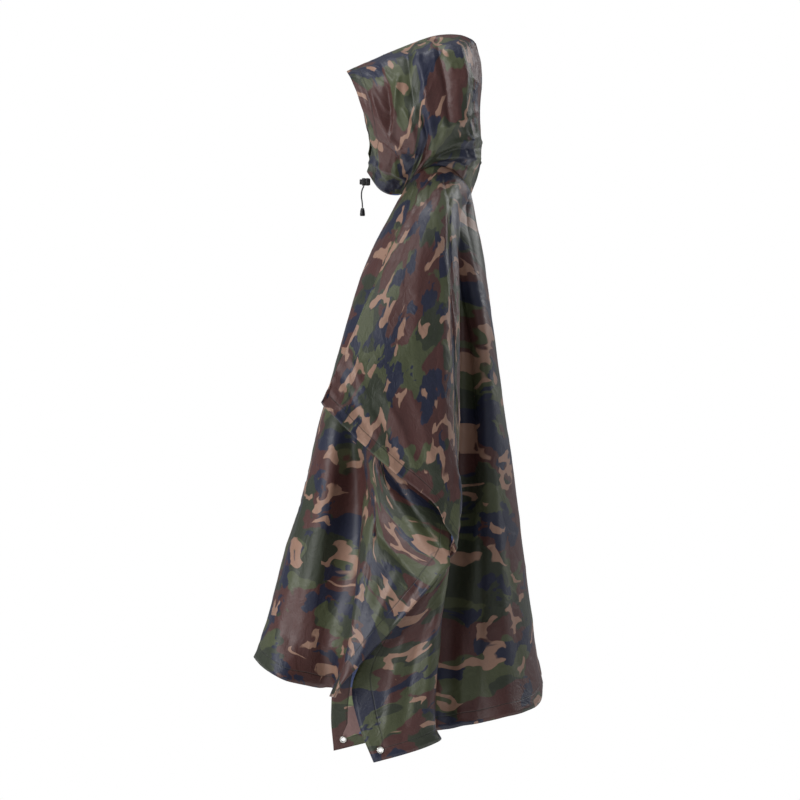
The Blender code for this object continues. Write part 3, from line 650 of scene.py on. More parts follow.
HOOD_CREASES = [
    # facets beside the face opening
    ([(-0.123, 0.197), (-0.107, 0.148), (-0.084, 0.1)], 0.0055, 0.005),
    ([(-0.068, 0.23), (-0.074, 0.168), (-0.084, 0.1)], 0.0055, 0.005),
    ([(-0.094, 0.217), (-0.088, 0.16), (-0.084, 0.119)], 0.008, -0.005),
    ([(-0.084, 0.1), (-0.062, 0.08), (-0.029, 0.074)], 0.005, 0.0035),
    ([(-0.057, 0.16), (-0.039, 0.119), (-0.033, 0.078)], 0.006, 0.004),
    ([(-0.117, 0.103), (-0.09, 0.078), (-0.057, 0.049)], 0.006, -0.004),
    ([(-0.111, 0.049), (-0.082, 0.037), (-0.053, 0.021)], 0.005, 0.003),
    # long folds over the crown
    ([(-0.033, 0.295), (-0.016, 0.217), (-0.004, 0.135), (0.004, 0.074)], 0.01, 0.005),
    ([(-0.053, 0.287), (-0.045, 0.226), (-0.039, 0.168)], 0.008, -0.004),
    ([(0.008, 0.308), (0.029, 0.217), (0.037, 0.127)], 0.01, -0.005),
    ([(0.053, 0.303), (0.066, 0.217), (0.066, 0.135)], 0.009, 0.004),
    ([(0.082, 0.267), (0.086, 0.193), (0.082, 0.127)], 0.006, -0.003),
    # fan of creases low at the back
    ([(0.004, 0.072), (0.047, 0.094), (0.094, 0.107)], 0.0042, 0.0035),
    ([(0.008, 0.066), (0.049, 0.08), (0.096, 0.086)], 0.0036, -0.003),
    ([(0.008, 0.062), (0.053, 0.068), (0.096, 0.064)], 0.0042, 0.0035),
    ([(0.012, 0.055), (0.053, 0.053), (0.09, 0.041)], 0.0036, -0.003),
    ([(0.016, 0.123), (0.053, 0.135), (0.09, 0.16)], 0.006, 0.003),
    ([(0.074, 0.148), (0.082, 0.098), (0.08, 0.049)], 0.005, 0.0035),
    ([(-0.025, 0.164), (-0.008, 0.103), (-0.016, 0.057)], 0.006, -0.004),
]


def hood_surface():
    """Fine mid-surface of the left half of the hood, from the brim to the back seam, with its flat
    places."""
    t = np.linspace(0, 1, HOOD_ROWS)
    ribs, angles = [], []
    for angle, *points in HOOD_RIBS:
        start = [] if angle is None else [neck_point(math.radians(angle))]
        ribs.append(spline([*start, *points], t))
        angles.append(math.radians(angle or 0))
    steps = [HOOD_COLUMNS] * (len(ribs) - 1)
    grid = across(np.array(ribs), steps, False)
    first = HOOD_NECK_RIB * HOOD_COLUMNS
    grid[first:, 0] = neck_point(between(angles[HOOD_NECK_RIB:], steps[HOOD_NECK_RIB:]))
    grid[..., 0] = np.maximum(grid[..., 0], 0.0)
    number = between(np.arange(float(len(ribs))), steps)
    wide = np.linalg.norm(np.diff(grid, axis=0), axis=-1)
    from_brim = np.concatenate([np.zeros((1, HOOD_ROWS)), np.cumsum(wide, axis=0)])
    down = np.linalg.norm(np.diff(grid, axis=1), axis=-1)
    up = np.concatenate([np.zeros((len(grid), 1)), np.cumsum(down, axis=1)], axis=1)
    return grid, number, np.stack([from_brim, up], axis=-1), t


def hood_relief(grid, number, flat, t, side):
    """Height of the hood's cloth over its smooth form: the cord channel at the brim and the gathers that
    the cord pulls into it, drawn creases, gathers along the neck seam and fine crumples."""
    across_way, up = flat[..., 0], flat[..., 1]
    relief = np.zeros(grid.shape[:2])
    for line, width, height in HOOD_CREASES:
        shifted = line if side > 0 else [(y + FAR_SIDE_SHIFT[0], z + FAR_SIDE_SHIFT[1]) for y, z in line]
        relief += crease(grid, number, shifted, width, CREASE_GAIN * height)
    relief += CHANNEL_HEIGHT * np.exp(-(((across_way - CHANNEL_PLACE) / CHANNEL_WIDTH) ** 2))
    gathers = np.exp(-across_way / 0.045) * np.clip(1.25 - t, 0, 1)
    relief += CHANNEL_GATHERS * gathers * noise(up * 75 + 5 * side, across_way * 9, 51)
    neck = np.exp(-up / 0.03)
    relief += HOOD_NECK_GATHERS * neck * noise(across_way * 60, up * 12, 61 + side)
    relief += HOOD_CRUMPLES * (crumple(across_way * 13 + 3 * side + up * 3, up * 7, 71) - CRUMPLE_MEAN)
    relief += HOOD_FINE_CRUMPLES * (crumple(across_way * 30, up * 17 + side, 81) - CRUMPLE_MEAN)
    calm = np.clip(up / 0.012, 0, 1) * np.clip((1 - t) / 0.04, 0.15, 1)
    return relief * calm


def build_hood_halves(outside, inside, thickness):
    """Left and right half of the hood; the right one is a mirror image with its own creases."""
    for name, node, side in (("hood_half_left", "hood_left", 1), ("hood_half_right", "hood_right", -1)):
        grid, number, flat, t = hood_surface()
        normals = -grid_normals(grid, False)
        relief = hood_relief(grid, number, flat, t, side)
        edge = flat[..., 0]
        back = np.clip((len(HOOD_RIBS) - 1 - number) / 0.3, 0, 1)[:, None]
        moved = grid + normals * (relief * (0.15 + 0.85 * back))[..., None]
        moved[..., 0] = np.maximum(moved[..., 0], 0.0)
        moved[:, -1, 0] = -SEAM_LAP
        moved[-1, :, 0] = -SEAM_LAP
        moved[: HOOD_NECK_RIB * HOOD_COLUMNS, 0, 0] = -SEAM_LAP
        if side < 0:
            moved = moved * (-1, 1, 1)
        else:
            moved, flat, edge = moved[::-1], flat[::-1], edge[::-1]
        printed = flat[..., ::-1] * (-side, 1) + (side * HOOD_PRINT_PLACE[0], HOOD_PRINT_PLACE[1])
        obj = put_sheet(name, moved, printed, edge, outside, inside, thickness)
        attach(obj, "root")
        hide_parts(node)


# Materials


def colour(text):
    """Linear colour of an sRGB hex value."""
    parts = [int(text[k : k + 2], 16) / 255 for k in (1, 3, 5)]
    return (*[c / 12.92 if c <= 0.04045 else ((c + 0.055) / 1.055) ** 2.4 for c in parts], 1.0)


def add(tree, kind, settings=None, inputs=None):
    """Adds one shader node, sets its own settings, and fills its inputs: a socket is linked, a value is
    set."""
    made = tree.nodes.new(kind)
    for key, value in (settings or {}).items():
        setattr(made, key, value)
    for key, value in (inputs or {}).items():
        if isinstance(value, bpy.types.NodeSocket):
            tree.links.new(value, made.inputs[key])
        else:
            made.inputs[key].default_value = value
    return made


def new_material(name):
    """Empty material with a Principled shader; gives the material, its tree and the shader."""
    material = bpy.data.materials.new(name)
    material.use_nodes = True
    return material, material.node_tree, material.node_tree.nodes["Principled BSDF"]


def ranged(tree, value, low, high, to_low, to_high):
    """A value carried from the range low to high into the range to_low to to_high, and held inside it."""
    limits = {"Value": value, "From Min": low, "From Max": high, "To Min": to_low, "To Max": to_high}
    return add(tree, "ShaderNodeMapRange", None, limits).outputs[0]


def above(tree, value, level, soft):
    """1 where a field is above a level and 0 where it is below, with a narrow soft step as ink has on
    cloth."""
    return ranged(tree, value, level - soft, level + soft, 0.0, 1.0)


def field(tree, place, scale, detail, roughness=0.5, distortion=0.0):
    """Smooth random field over the flat cloth, 0 to 1, with a grain of 1/scale metres."""
    made = add(
        tree, "ShaderNodeTexNoise", {"noise_dimensions": "2D"},
        {"Vector": place, "Scale": scale, "Detail": detail, "Roughness": roughness, "Distortion": distortion},
    )
    return made.outputs["Fac"]


def maths(tree, operation, a, b=0.0):
    """Result of one Math node."""
    return add(tree, "ShaderNodeMath", {"operation": operation}, {0: a, 1: b}).outputs[0]


def vector_maths(tree, operation, inputs):
    """Result of one Vector Math node."""
    return add(tree, "ShaderNodeVectorMath", {"operation": operation}, inputs).outputs[0]


def bumped(tree, shader, height, strength=1.0):
    """Lets light fall on the surface as if it were lifted by a height in metres."""
    bump = add(tree, "ShaderNodeBump", None, {"Height": height, "Strength": strength, "Distance": 1.0})
    tree.links.new(bump.outputs[0], shader.inputs["Normal"])


def laid(tree, mask, under, over):
    """Colour over laid on colour under where the mask is 1."""
    made = add(tree, "ShaderNodeMix", {"data_type": "RGBA"}, {"Factor": mask})
    for socket, value in ((made.inputs[6], under), (made.inputs[7], over)):
        if isinstance(value, bpy.types.NodeSocket):
            tree.links.new(value, socket)
        else:
            socket.default_value = value
    return made.outputs[2]


INK_EDGE = 0.006         # softness of the edge of a printed shape, in the value of its field
SHAPE_SLANT = 0.75       # radians
SHAPE_STRETCH = 1.7
SHAPE_SWAY = 0.045       # metres
RIBBON_HALF_WIDTH = 0.040    # in the value of its field
TURNED_HEM = 0.0245
STITCH_PLACE = 0.0235    # from the edge
STITCH_HALF_WIDTH = 0.0009
STITCH_DEPTH = 0.0006
THREAD_COLOUR = "#22241f"
RIPSTOP_SQUARE = 0.003
RIPSTOP_HEIGHT = 0.00005
PUCKER_HEIGHT = 0.0022
FINE_PUCKER_HEIGHT = 0.00035


def camouflage(tree, place, inks):
    """Five printed colours: green ground with darker green, brown fields, wavy tan ribbons and dark
    splashes.  The shapes run slantwise down the cloth; ribbons are where a field passes through its
    middle."""
    turn = {"Vector": place, "Rotation": (0, 0, SHAPE_SLANT), "Scale": (1.0, SHAPE_STRETCH, 1)}
    slant = add(tree, "ShaderNodeMapping", None, turn).outputs[0]
    waves = {"Vector": slant, "Scale": 16.0, "Detail": 2.0}
    sway = add(tree, "ShaderNodeTexNoise", {"noise_dimensions": "2D"}, waves).outputs["Color"]
    centred = vector_maths(tree, "SUBTRACT", {0: sway, 1: (0.5, 0.5, 0.5)})
    shift = vector_maths(tree, "SCALE", {0: centred, "Scale": SHAPE_SWAY})
    base = vector_maths(tree, "ADD", {0: slant, 1: shift})

    def shapes(x, y, scale, detail, roughness=0.5):
        """Random field of one colour, read at a place of its own."""
        return field(tree, vector_maths(tree, "ADD", {0: base, 1: (x, y, 0.0)}), scale, detail, roughness)

    deep = above(tree, shapes(3.1, 1.7, 6.0, 2.0), 0.50, INK_EDGE)
    brown = above(tree, shapes(7.3, 2.9, 6.5, 2.5), 0.51, INK_EDGE)
    splash = above(tree, shapes(9.7, 4.2, 8.5, 3.5, 0.6), 0.565, INK_EDGE)
    middle = maths(tree, "ABSOLUTE", maths(tree, "SUBTRACT", shapes(1.9, 8.4, 6.5, 2.0), 0.5))
    ribbon = maths(tree, "SUBTRACT", 1.0, above(tree, middle, RIBBON_HALF_WIDTH, 0.004))
    gate = above(tree, shapes(5.5, 5.1, 10.0, 1.5), 0.535, INK_EDGE)
    tone = laid(tree, deep, inks["green"], inks["deep"])
    tone = laid(tree, brown, tone, inks["brown"])
    tone = laid(tree, splash, tone, inks["navy"])
    return laid(tree, maths(tree, "MULTIPLY", ribbon, gate), tone, inks["tan"])


def ripstop(tree, place):
    """Raised threads of a rip-stop grid: high powers of |cos| along and across the cloth."""
    split = add(tree, "ShaderNodeSeparateXYZ", None, {0: place})
    waves = []
    for axis in (0, 1):
        turn = maths(tree, "MULTIPLY", split.outputs[axis], math.pi / RIPSTOP_SQUARE)
        waves.append(maths(tree, "POWER", maths(tree, "ABSOLUTE", maths(tree, "COSINE", turn)), 12.0))
    return maths(tree, "MULTIPLY", maths(tree, "MAXIMUM", waves[0], waves[1]), RIPSTOP_HEIGHT)


def nylon(name, inks, roughness, coat, hem_inks=None):
    """Plain-woven nylon with a rip-stop grid, dyed in camouflage and coated: a thin film that shines in
    soft streaks where the cloth is creased.  Single threads are left out as too fine to show.  With hem
    inks, the hem shows the turned-in face of the cloth; a coat of 0 leaves the nylon uncoated."""
    material, tree, shader = new_material(name)
    place = add(tree, "ShaderNodeUVMap", {"uv_map": "flat"}).outputs[0]
    edge = add(tree, "ShaderNodeAttribute", {"attribute_name": "edge"}).outputs["Fac"]
    tone = camouflage(tree, place, inks)
    if hem_inks:
        turned = maths(tree, "SUBTRACT", 1.0, above(tree, edge, TURNED_HEM, 0.0005))
        tone = laid(tree, turned, tone, camouflage(tree, place, hem_inks))
    seam = maths(tree, "ABSOLUTE", maths(tree, "SUBTRACT", edge, STITCH_PLACE))
    stitch = maths(tree, "SUBTRACT", 1.0, above(tree, seam, STITCH_HALF_WIDTH, 0.0004))
    tone = laid(tree, maths(tree, "MULTIPLY", stitch, 0.55), tone, colour(THREAD_COLOUR))
    shade = ranged(tree, field(tree, place, 3.0, 2.0), 0.3, 0.7, 0.88, 1.08)
    worn = add(tree, "ShaderNodeHueSaturation", None, {"Value": shade, "Color": tone})
    tree.links.new(worn.outputs[0], shader.inputs["Base Color"])
    rough = ranged(tree, field(tree, place, 20.0, 2.0), 0.3, 0.7, roughness - 0.05, roughness + 0.07)
    tree.links.new(rough, shader.inputs["Roughness"])
    shader.inputs["IOR"].default_value = 1.5
    shader.inputs["Specular IOR Level"].default_value = 0.4
    shader.inputs["Coat Weight"].default_value = coat
    shader.inputs["Coat Roughness"].default_value = 0.25
    wide = maths(tree, "MULTIPLY", field(tree, place, 38.0, 3.0, 0.55, 0.6), PUCKER_HEIGHT)
    fine = maths(tree, "MULTIPLY", field(tree, place, 110.0, 2.0, 0.5, 0.8), FINE_PUCKER_HEIGHT)
    height = maths(tree, "ADD", ripstop(tree, place), maths(tree, "ADD", wide, fine))
    height = maths(tree, "SUBTRACT", height, maths(tree, "MULTIPLY", stitch, STITCH_DEPTH))
    bumped(tree, shader, height, 0.8)
    return material


OUTSIDE_INKS = {
    "green": "#474c35", "deep": "#31362a", "brown": "#4b2f2c", "tan": "#927362", "navy": "#23273a"
}
INSIDE_INKS = {
    "green": "#7c8862", "deep": "#646e54", "brown": "#7a5f5c", "tan": "#a88d80", "navy": "#4c5a86"
}


def plated_brass():
    """Pressed brass with bright nickel plate: a near-mirror with fine handling scratches."""
    material, tree, shader = new_material("nickel-plated brass")
    place = add(tree, "ShaderNodeTexCoord").outputs["Object"]
    shader.inputs["Base Color"].default_value = colour("#c9c8c2")
    shader.inputs["Metallic"].default_value = 1.0
    marks = {"Vector": place, "Scale": 900.0, "Detail": 3.0, "Distortion": 1.0}
    scratch = add(tree, "ShaderNodeTexNoise", None, marks).outputs["Fac"]
    tree.links.new(ranged(tree, scratch, 0.0, 1.0, 0.16, 0.36), shader.inputs["Roughness"])
    bumped(tree, shader, maths(tree, "MULTIPLY", scratch, 0.00006))
    return material


def moulded_acetal():
    """Injection-moulded black acetal: satin, with a faint spark-eroded grain."""
    material, tree, shader = new_material("moulded black acetal")
    place = add(tree, "ShaderNodeTexCoord").outputs["Object"]
    marks = {"Vector": place, "Scale": 1500.0, "Detail": 2.0}
    grain = add(tree, "ShaderNodeTexNoise", None, marks).outputs["Fac"]
    shader.inputs["Base Color"].default_value = colour("#17171a")
    shader.inputs["IOR"].default_value = 1.48
    tree.links.new(ranged(tree, grain, 0.0, 1.0, 0.34, 0.5), shader.inputs["Roughness"])
    bumped(tree, shader, maths(tree, "MULTIPLY", grain, 0.00008))
    return material


STRANDS = 4              # each way round the cord
STRAND_CROSSING = 0.0014


def braided_cord():
    """Black braided polyester cord: two sets of strands cross along it and leave a rounded diamond
    relief; the crown of each strand is painted lighter as a painted highlight, and the grooves between
    the strands darker as painted shade."""
    material, tree, shader = new_material("braided black cord")
    place = add(tree, "ShaderNodeUVMap", {"uv_map": "flat"}).outputs[0]
    split = add(tree, "ShaderNodeSeparateXYZ", None, {0: place})
    along = maths(tree, "MULTIPLY", split.outputs[1], math.pi / STRAND_CROSSING)
    around = maths(tree, "MULTIPLY", split.outputs[0], 2 * math.pi * STRANDS)
    one = maths(tree, "SINE", maths(tree, "ADD", around, along))
    two = maths(tree, "SINE", maths(tree, "SUBTRACT", around, along))
    braid = maths(tree, "MAXIMUM", one, two)
    # shade masks the strand crowns: painted lighter as a painted highlight, with painted shade left darker in
    # the grooves
    shade = above(tree, braid, 0.2, 0.6)
    tone = laid(tree, shade, colour("#0c0c0e"), colour("#2a2a2e"))
    tree.links.new(tone, shader.inputs["Base Color"])
    shader.inputs["Roughness"].default_value = 0.7
    shader.inputs["Sheen Weight"].default_value = 0.3
    bumped(tree, shader, maths(tree, "MULTIPLY", braid, 0.0002))
    return material


# Cord and fittings


def revolve(name, profile, centre, axis, material, around=48, flute=0.0, flutes=0):
    """Surface of revolution: (radius, height) points carried round an axis; a flute depth waves the
    radius."""
    axis = np.array(axis, dtype=float) / np.linalg.norm(axis)
    helper = np.array([0.0, 0.0, 1.0]) if abs(axis[2]) < 0.9 else np.array([0.0, 1.0, 0.0])
    side = unit(np.cross(helper, axis))
    up = np.cross(axis, side)
    profile = np.array(profile, dtype=float)
    closed = profile[0, 0] > 0
    angle = np.arange(around) * 2 * math.pi / around
    radius = profile[:, :1] * (1 + flute * np.cos(flutes * angle)[None])
    points = (
        np.array(centre)
        + profile[:, 1][:, None, None] * axis
        + radius[..., None] * (np.cos(angle)[:, None] * side + np.sin(angle)[:, None] * up)
    )
    rings = len(profile)
    at = np.arange(rings * around).reshape(rings, around)
    low = at if closed else at[:-1]
    high = np.roll(at, -1, axis=0) if closed else at[1:]
    faces = np.stack([low, np.roll(low, -1, axis=1), np.roll(high, -1, axis=1), high], axis=-1).reshape(-1, 4)
    uv = np.stack(np.broadcast_arrays(angle[None] / (2 * math.pi), profile[:, 1:]), axis=-1)
    obj = put_mesh(name, points.reshape(-1, 3), faces, uv.reshape(-1, 2), [material])
    close_up(obj)
    return obj


def rounded(points, radius=0.0006, steps=4):
    """Profile with each inner corner replaced by a short curve through it."""
    p = np.array(points, dtype=float)
    out = [p[0]]
    for before, here, after in zip(p, p[1:], p[2:]):
        a = here + (before - here) * min(0.45, radius / max(np.linalg.norm(before - here), 1e-9))
        b = here + (after - here) * min(0.45, radius / max(np.linalg.norm(after - here), 1e-9))
        s = np.linspace(0, 1, steps)[:, None]
        out += list((1 - s) ** 2 * a + 2 * s * (1 - s) * here + s**2 * b)
    return np.array([*out, p[-1]])


def build_cords(material):
    """The two cord ends that hang from the lock, as tubes along their route."""
    made = []
    for side, sign in (("left", 1), ("right", -1)):
        route = spline([(sign * x, y, z) for x, y, z in CORD_ROUTE], np.linspace(0, 1, CORD_STEPS))
        along = unit(np.gradient(route, axis=0))
        right = unit(np.cross(along, (0.0, 1.0, 0.0)))
        up = np.cross(along, right)
        angle = np.linspace(0, 2 * math.pi, CORD_SIDES + 1)
        ring = np.cos(angle)[None, :, None] * right[:, None] + np.sin(angle)[None, :, None] * up[:, None]
        run = np.concatenate([[0.0], np.cumsum(np.linalg.norm(np.diff(route, axis=0), axis=1))])
        open_tube = route[:, None] + ring * CORD_RADIUS
        caps = [np.repeat(route[k][None, None], len(angle), axis=1) for k in (0, -1)]
        points = np.concatenate([caps[0], open_tube, caps[1]])
        run = np.concatenate([run[:1], run, run[-1:]])
        faces = grid_faces(*points.shape[:2])
        uv = np.stack(np.broadcast_arrays(angle[None] / (2 * math.pi), run[:, None]), axis=-1)
        obj = put_mesh(f"cord_strand_{side}", points.reshape(-1, 3), faces, uv.reshape(-1, 2), [material])
        close_up(obj)
        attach(obj, "root")
        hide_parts(f"drawcord_{side}")
        made.append((obj, route, float(run[-1])))
    return made


def build_lock(material):
    """Cord lock: a finely fluted barrel lying front to back, with a groove round it and a sprung button."""
    half, radius = LOCK_HALF_LENGTH, LOCK_RADIUS
    shell = rounded(
        [
            (0.0, -half), (radius * 0.80, -half), (radius * 0.98, -half * 0.72), (radius, -half * 0.3),
            (radius * 0.93, -half * 0.22), (radius * 0.93, -half * 0.10), (radius, -half * 0.02),
            (radius, half * 0.50), (radius * 0.84, half * 0.56), (radius * 0.70, half * 0.58),
            (radius * 0.70, half * 0.92), (radius * 0.55, half), (0.0, half),
        ]
    )
    obj = revolve("cord_lock_shell", shell, LOCK_CENTRE, (0, -1, 0), material, 64, 0.012, 16)
    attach(obj, "root")
    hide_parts("cord_lock")


def build_grip(material):
    """Grip at the ends of the cord: a small bell with rounded ribs and a hollowed foot."""
    h, r = CORD_END_HEIGHT, CORD_END_RADIUS
    bell = rounded(
        [
            (0.0, 0.0), (r * 0.55, 0.0), (r * 0.70, -h * 0.08), (r * 0.78, -h * 0.25), (r * 0.95, -h * 0.32),
            (r * 0.84, -h * 0.40), (r * 0.99, -h * 0.48), (r * 0.88, -h * 0.56), (r, -h * 0.66),
            (r, -h * 0.90), (r * 0.84, -h), (r * 0.45, -h), (r * 0.40, -h * 0.90), (0.0, -h * 0.88),
        ],
        0.0005,
    )
    obj = revolve("cord_grip", bell, CORD_END_TOP, (0, 0, 1), material)
    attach(obj, "root")
    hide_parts("cord_end")
    return obj


def build_eyelets(metal):
    """Rolled metal rings, one in each back corner: radius = middle + half cos(roll), height = lift of
    sin(roll)."""
    for side in ("left", "right"):
        centre, axis = eyelet_places[side]
        roll = np.linspace(0, 2 * math.pi, 20, endpoint=False)
        middle = (EYELET_HOLE + EYELET_FLANGE) / 2
        half = (EYELET_FLANGE - EYELET_HOLE) / 2
        lift = np.sign(np.sin(roll)) * np.abs(np.sin(roll)) ** ROLL_POWER
        collar = np.stack([middle + half * np.cos(roll), EYELET_HALF_LENGTH * lift], axis=-1)
        obj = revolve(f"eyelet_ring_{side}", collar, centre, axis, metal, 56)
        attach(obj, "root")
        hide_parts(f"eyelet_back_{side}")


# Stage

SENSOR_WIDTH = 36.0      # millimetres
VIEW_DISTANCE = 25.0
VIEW_WIDTH = 1.64        # width seen at the garment's middle plane
VIEW_MIDDLE_Y = -0.0656
VIEW_MIDDLE_Z = -0.4305
FLOOR_Z = -1.45
FLOOR_RINGS = (0.001, 1.0, 2.0, 4.0, 6.0)
FLOOR_SIDES = 96
FLOOR_GLOW = (0.4, 0.95)         # near the garment and far from it
FLOOR_GLOW_RADII = (1.6, 5.5)
STUDIO_GLOW = 0.21
LIGHT_AIM = (0.0, -0.05, -0.45)
LIGHTS = [
    # name, place, size, watts
    ("key", (3.2, -3.4, 2.0), 3.2, 185.0),
    ("top", (-0.3, -0.8, 3.2), 2.0, 50.0),
    ("back", (-2.2, 2.8, 1.4), 2.2, 45.0),
]


def build_camera():
    """Long lens from the wearer's left, level with the middle of the garment."""
    data = bpy.data.cameras.new("camera")
    data.sensor_width = SENSOR_WIDTH
    data.lens = SENSOR_WIDTH * VIEW_DISTANCE / VIEW_WIDTH
    data.clip_end = 200.0
    camera = bpy.data.objects.new("camera", data)
    camera.location = (VIEW_DISTANCE, VIEW_MIDDLE_Y, VIEW_MIDDLE_Z)
    camera.rotation_euler = (math.radians(90), 0, math.radians(90))
    bpy.context.scene.collection.objects.link(camera)
    bpy.context.scene.camera = camera


def pale_floor():
    """Matt pale paint that glows more and more away from the garment, so that the floor ends in white."""
    paint, tree, shader = new_material("pale studio floor")
    shader.inputs["Base Color"].default_value = colour("#e9e8e6")
    shader.inputs["Roughness"].default_value = 0.9
    shader.inputs["Emission Color"].default_value = colour("#ffffff")
    place = add(tree, "ShaderNodeTexCoord").outputs["Object"]
    far = add(tree, "ShaderNodeVectorMath", {"operation": "LENGTH"}, {0: place}).outputs["Value"]
    tree.links.new(ranged(tree, far, *FLOOR_GLOW_RADII, *FLOOR_GLOW), shader.inputs["Emission Strength"])
    return paint


def build_floor():
    """Round floor well below the hem."""
    angle = np.arange(FLOOR_SIDES) * 2 * math.pi / FLOOR_SIDES
    rings = np.array(FLOOR_RINGS)[:, None]
    heights = np.full((len(rings), FLOOR_SIDES), FLOOR_Z)
    points = np.stack([rings * np.cos(angle), rings * np.sin(angle), heights], axis=-1)
    at = np.arange(heights.size).reshape(heights.shape)
    corners = [at[:-1], at[1:], np.roll(at[1:], -1, axis=1), np.roll(at[:-1], -1, axis=1)]
    faces = np.stack(corners, axis=-1).reshape(-1, 4)
    floor = put_mesh("floor", points.reshape(-1, 3), faces, points[..., :2].reshape(-1, 2), [pale_floor()])


def build_studio(studio_glow):
    """Pale glow all round, which is seen as plain white."""
    world = bpy.data.worlds.new("pale studio")
    bpy.context.scene.world = world
    world.use_nodes = True
    tree = world.node_tree
    glow = tree.nodes["Background"]
    glow.inputs["Color"].default_value = colour("#f4f6ff")
    glow.inputs["Strength"].default_value = studio_glow
    wall = add(tree, "ShaderNodeBackground", None, {"Color": colour("#ffffff"), "Strength": 1.0})
    seen = add(tree, "ShaderNodeLightPath").outputs["Is Camera Ray"]
    both = add(tree, "ShaderNodeMixShader", None, {0: seen, 1: glow.outputs[0], 2: wall.outputs[0]})
    tree.links.new(both.outputs[0], tree.nodes["World Output"].inputs["Surface"])
    bpy.context.scene.view_settings.view_transform = "Standard"


def soft_light(name, place, size, power):
    """Square area light that faces the middle of the garment."""
    data = bpy.data.lights.new(name, "AREA")
    data.size = size
    data.energy = power
    light = bpy.data.objects.new(name, data)
    light.location = place
    aim = Vector(LIGHT_AIM) - light.location
    light.rotation_euler = aim.to_track_quat("-Z", "Y").to_euler()
    bpy.context.scene.collection.objects.link(light)


# Add-on


def ink_property(name, description, text):
    """Colour property of one printed colour, from its sRGB hex value."""
    return bpy.props.FloatVectorProperty(
        name=name, description=description, default=colour(text), subtype="COLOR", size=4, min=0.0, max=1.0
    )


class PonchoClothSettings(bpy.types.PropertyGroup):
    """Sizes, colours and finish of the cloth."""

    thickness: bpy.props.FloatProperty(
        name="Cloth thickness", description="Thickness of the coated nylon, drawn thick enough to see",
        default=CLOTH_THICKNESS, min=0.0002, max=0.003, unit="LENGTH",
    )
    roughness: bpy.props.FloatProperty(
        name="Outside roughness", description="Roughness of the coated outside",
        default=0.46, min=0.05, max=1.0,
    )
    coat: bpy.props.FloatProperty(
        name="Coating", description="How strongly the coating shines", default=0.1, min=0.0, max=1.0,
    )
    outside_green: ink_property("Green", "Ground of the print outside", OUTSIDE_INKS["green"])
    outside_deep: ink_property("Deep green", "Dark green fields outside", OUTSIDE_INKS["deep"])
    outside_brown: ink_property("Brown", "Brown fields outside", OUTSIDE_INKS["brown"])
    outside_tan: ink_property("Tan", "Pale ribbons outside", OUTSIDE_INKS["tan"])
    outside_navy: ink_property("Navy", "Dark splashes outside", OUTSIDE_INKS["navy"])
    inside_green: ink_property("Inside green", "Ground of the print inside", INSIDE_INKS["green"])
    inside_deep: ink_property("Inside deep green", "Dark green fields inside", INSIDE_INKS["deep"])
    inside_brown: ink_property("Inside brown", "Brown fields inside", INSIDE_INKS["brown"])
    inside_tan: ink_property("Inside tan", "Pale ribbons inside", INSIDE_INKS["tan"])
    inside_navy: ink_property("Inside navy", "Dark splashes inside", INSIDE_INKS["navy"])


class PonchoStageSettings(bpy.types.PropertyGroup):
    """Light of the studio."""

    glow: bpy.props.FloatProperty(
        name="Studio glow", description="Light that comes from the pale studio all round",
        default=STUDIO_GLOW, min=0.0, max=3.0,
    )


class PONCHO_OT_stage(bpy.types.Operator):
    """Make the camera, the floor, the studio and the lights"""

    bl_idname = "poncho.stage"
    bl_label = "Stage"

    def execute(self, context):
        build_camera()
        build_floor()
        build_studio(context.scene.poncho_stage.glow)
        for light in LIGHTS:
            soft_light(*light)
        return {"FINISHED"}


class PONCHO_OT_cord(bpy.types.Operator):
    """Make the cord ends with their lock and grip"""

    bl_idname = "poncho.cord"
    bl_label = "Drawcord"

    def execute(self, context):
        acetal, cord = moulded_acetal(), braided_cord()
        build_lock(acetal)
        grip = build_grip(acetal)
        for strand, route, length in build_cords(cord):
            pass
        return {"FINISHED"}


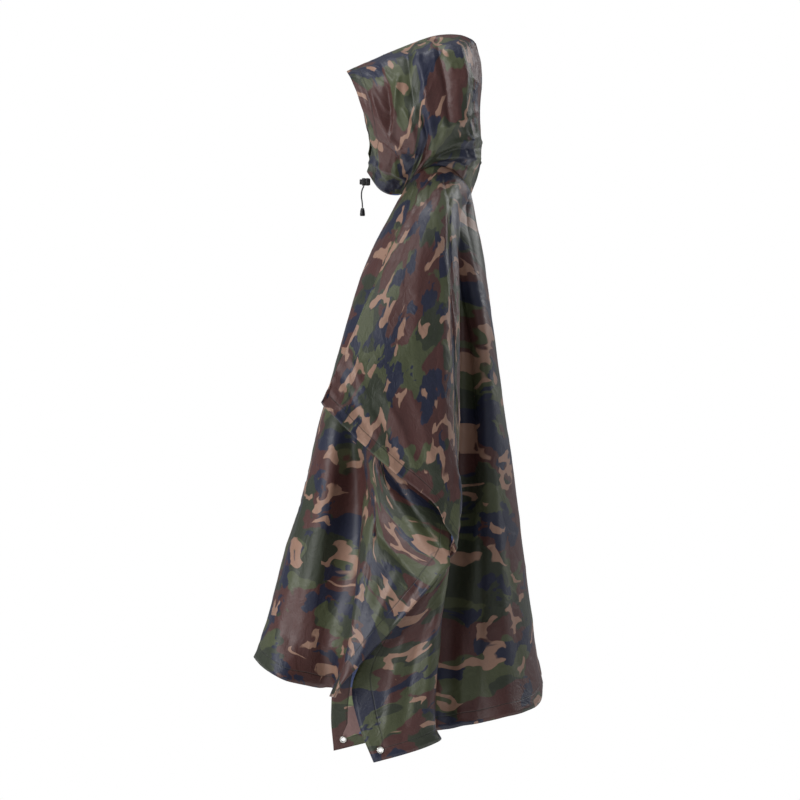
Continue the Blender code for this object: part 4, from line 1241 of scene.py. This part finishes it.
class PONCHO_OT_cloth(bpy.types.Operator):
    """Make the front and back sheet and the two hood halves"""

    bl_idname = "poncho.cloth"
    bl_label = "Cloth"

    def execute(self, context):
        cloth = context.scene.poncho_cloth
        outer_inks = {ink: tuple(getattr(cloth, f"outside_{ink}")) for ink in OUTSIDE_INKS}
        inner_inks = {ink: tuple(getattr(cloth, f"inside_{ink}")) for ink in INSIDE_INKS}
        outside = nylon("polyurethane-coated nylon", outer_inks, cloth.roughness, cloth.coat)
        inside = nylon("uncoated inside of the nylon", inner_inks, 0.6, 0.0, outer_inks)
        build_sheets(outside, inside, cloth.thickness)
        build_hood_halves(outside, inside, cloth.thickness)
        return {"FINISHED"}


class PONCHO_OT_eyelets(bpy.types.Operator):
    """Make the eyelets in the back corners"""

    bl_idname = "poncho.eyelets"
    bl_label = "Eyelets"

    def execute(self, context):
        build_eyelets(plated_brass())
        return {"FINISHED"}


class PONCHO_PT_panel(bpy.types.Panel):
    """Sidebar panel of the poncho"""

    bl_idname = "PONCHO_PT_panel"
    bl_label = "Rain Poncho"
    bl_space_type = "VIEW_3D"
    bl_region_type = "UI"
    bl_category = "Rain Poncho"

    def draw(self, context):
        layout = self.layout
        for group in (context.scene.poncho_cloth, context.scene.poncho_stage):
            for name in group.bl_rna.properties.keys():
                if name not in ("rna_type", "name"):
                    layout.prop(group, name)
        for operator in OPERATORS:
            layout.operator(operator.bl_idname)


OPERATORS = (PONCHO_OT_stage, PONCHO_OT_cord, PONCHO_OT_cloth, PONCHO_OT_eyelets)
CLASSES = (PonchoClothSettings, PonchoStageSettings, *OPERATORS, PONCHO_PT_panel)


def register():
    for cls in CLASSES:
        bpy.utils.register_class(cls)
    bpy.types.Scene.poncho_cloth = bpy.props.PointerProperty(type=PonchoClothSettings)
    bpy.types.Scene.poncho_stage = bpy.props.PointerProperty(type=PonchoStageSettings)


def unregister():
    del bpy.types.Scene.poncho_stage
    del bpy.types.Scene.poncho_cloth
    for cls in reversed(CLASSES):
        bpy.utils.unregister_class(cls)


def main():
    register()
    bpy.ops.poncho.stage()
    bpy.ops.poncho.cord()
    bpy.ops.poncho.cloth()
    bpy.ops.poncho.eyelets()


if __name__ == "__main__":
    main()
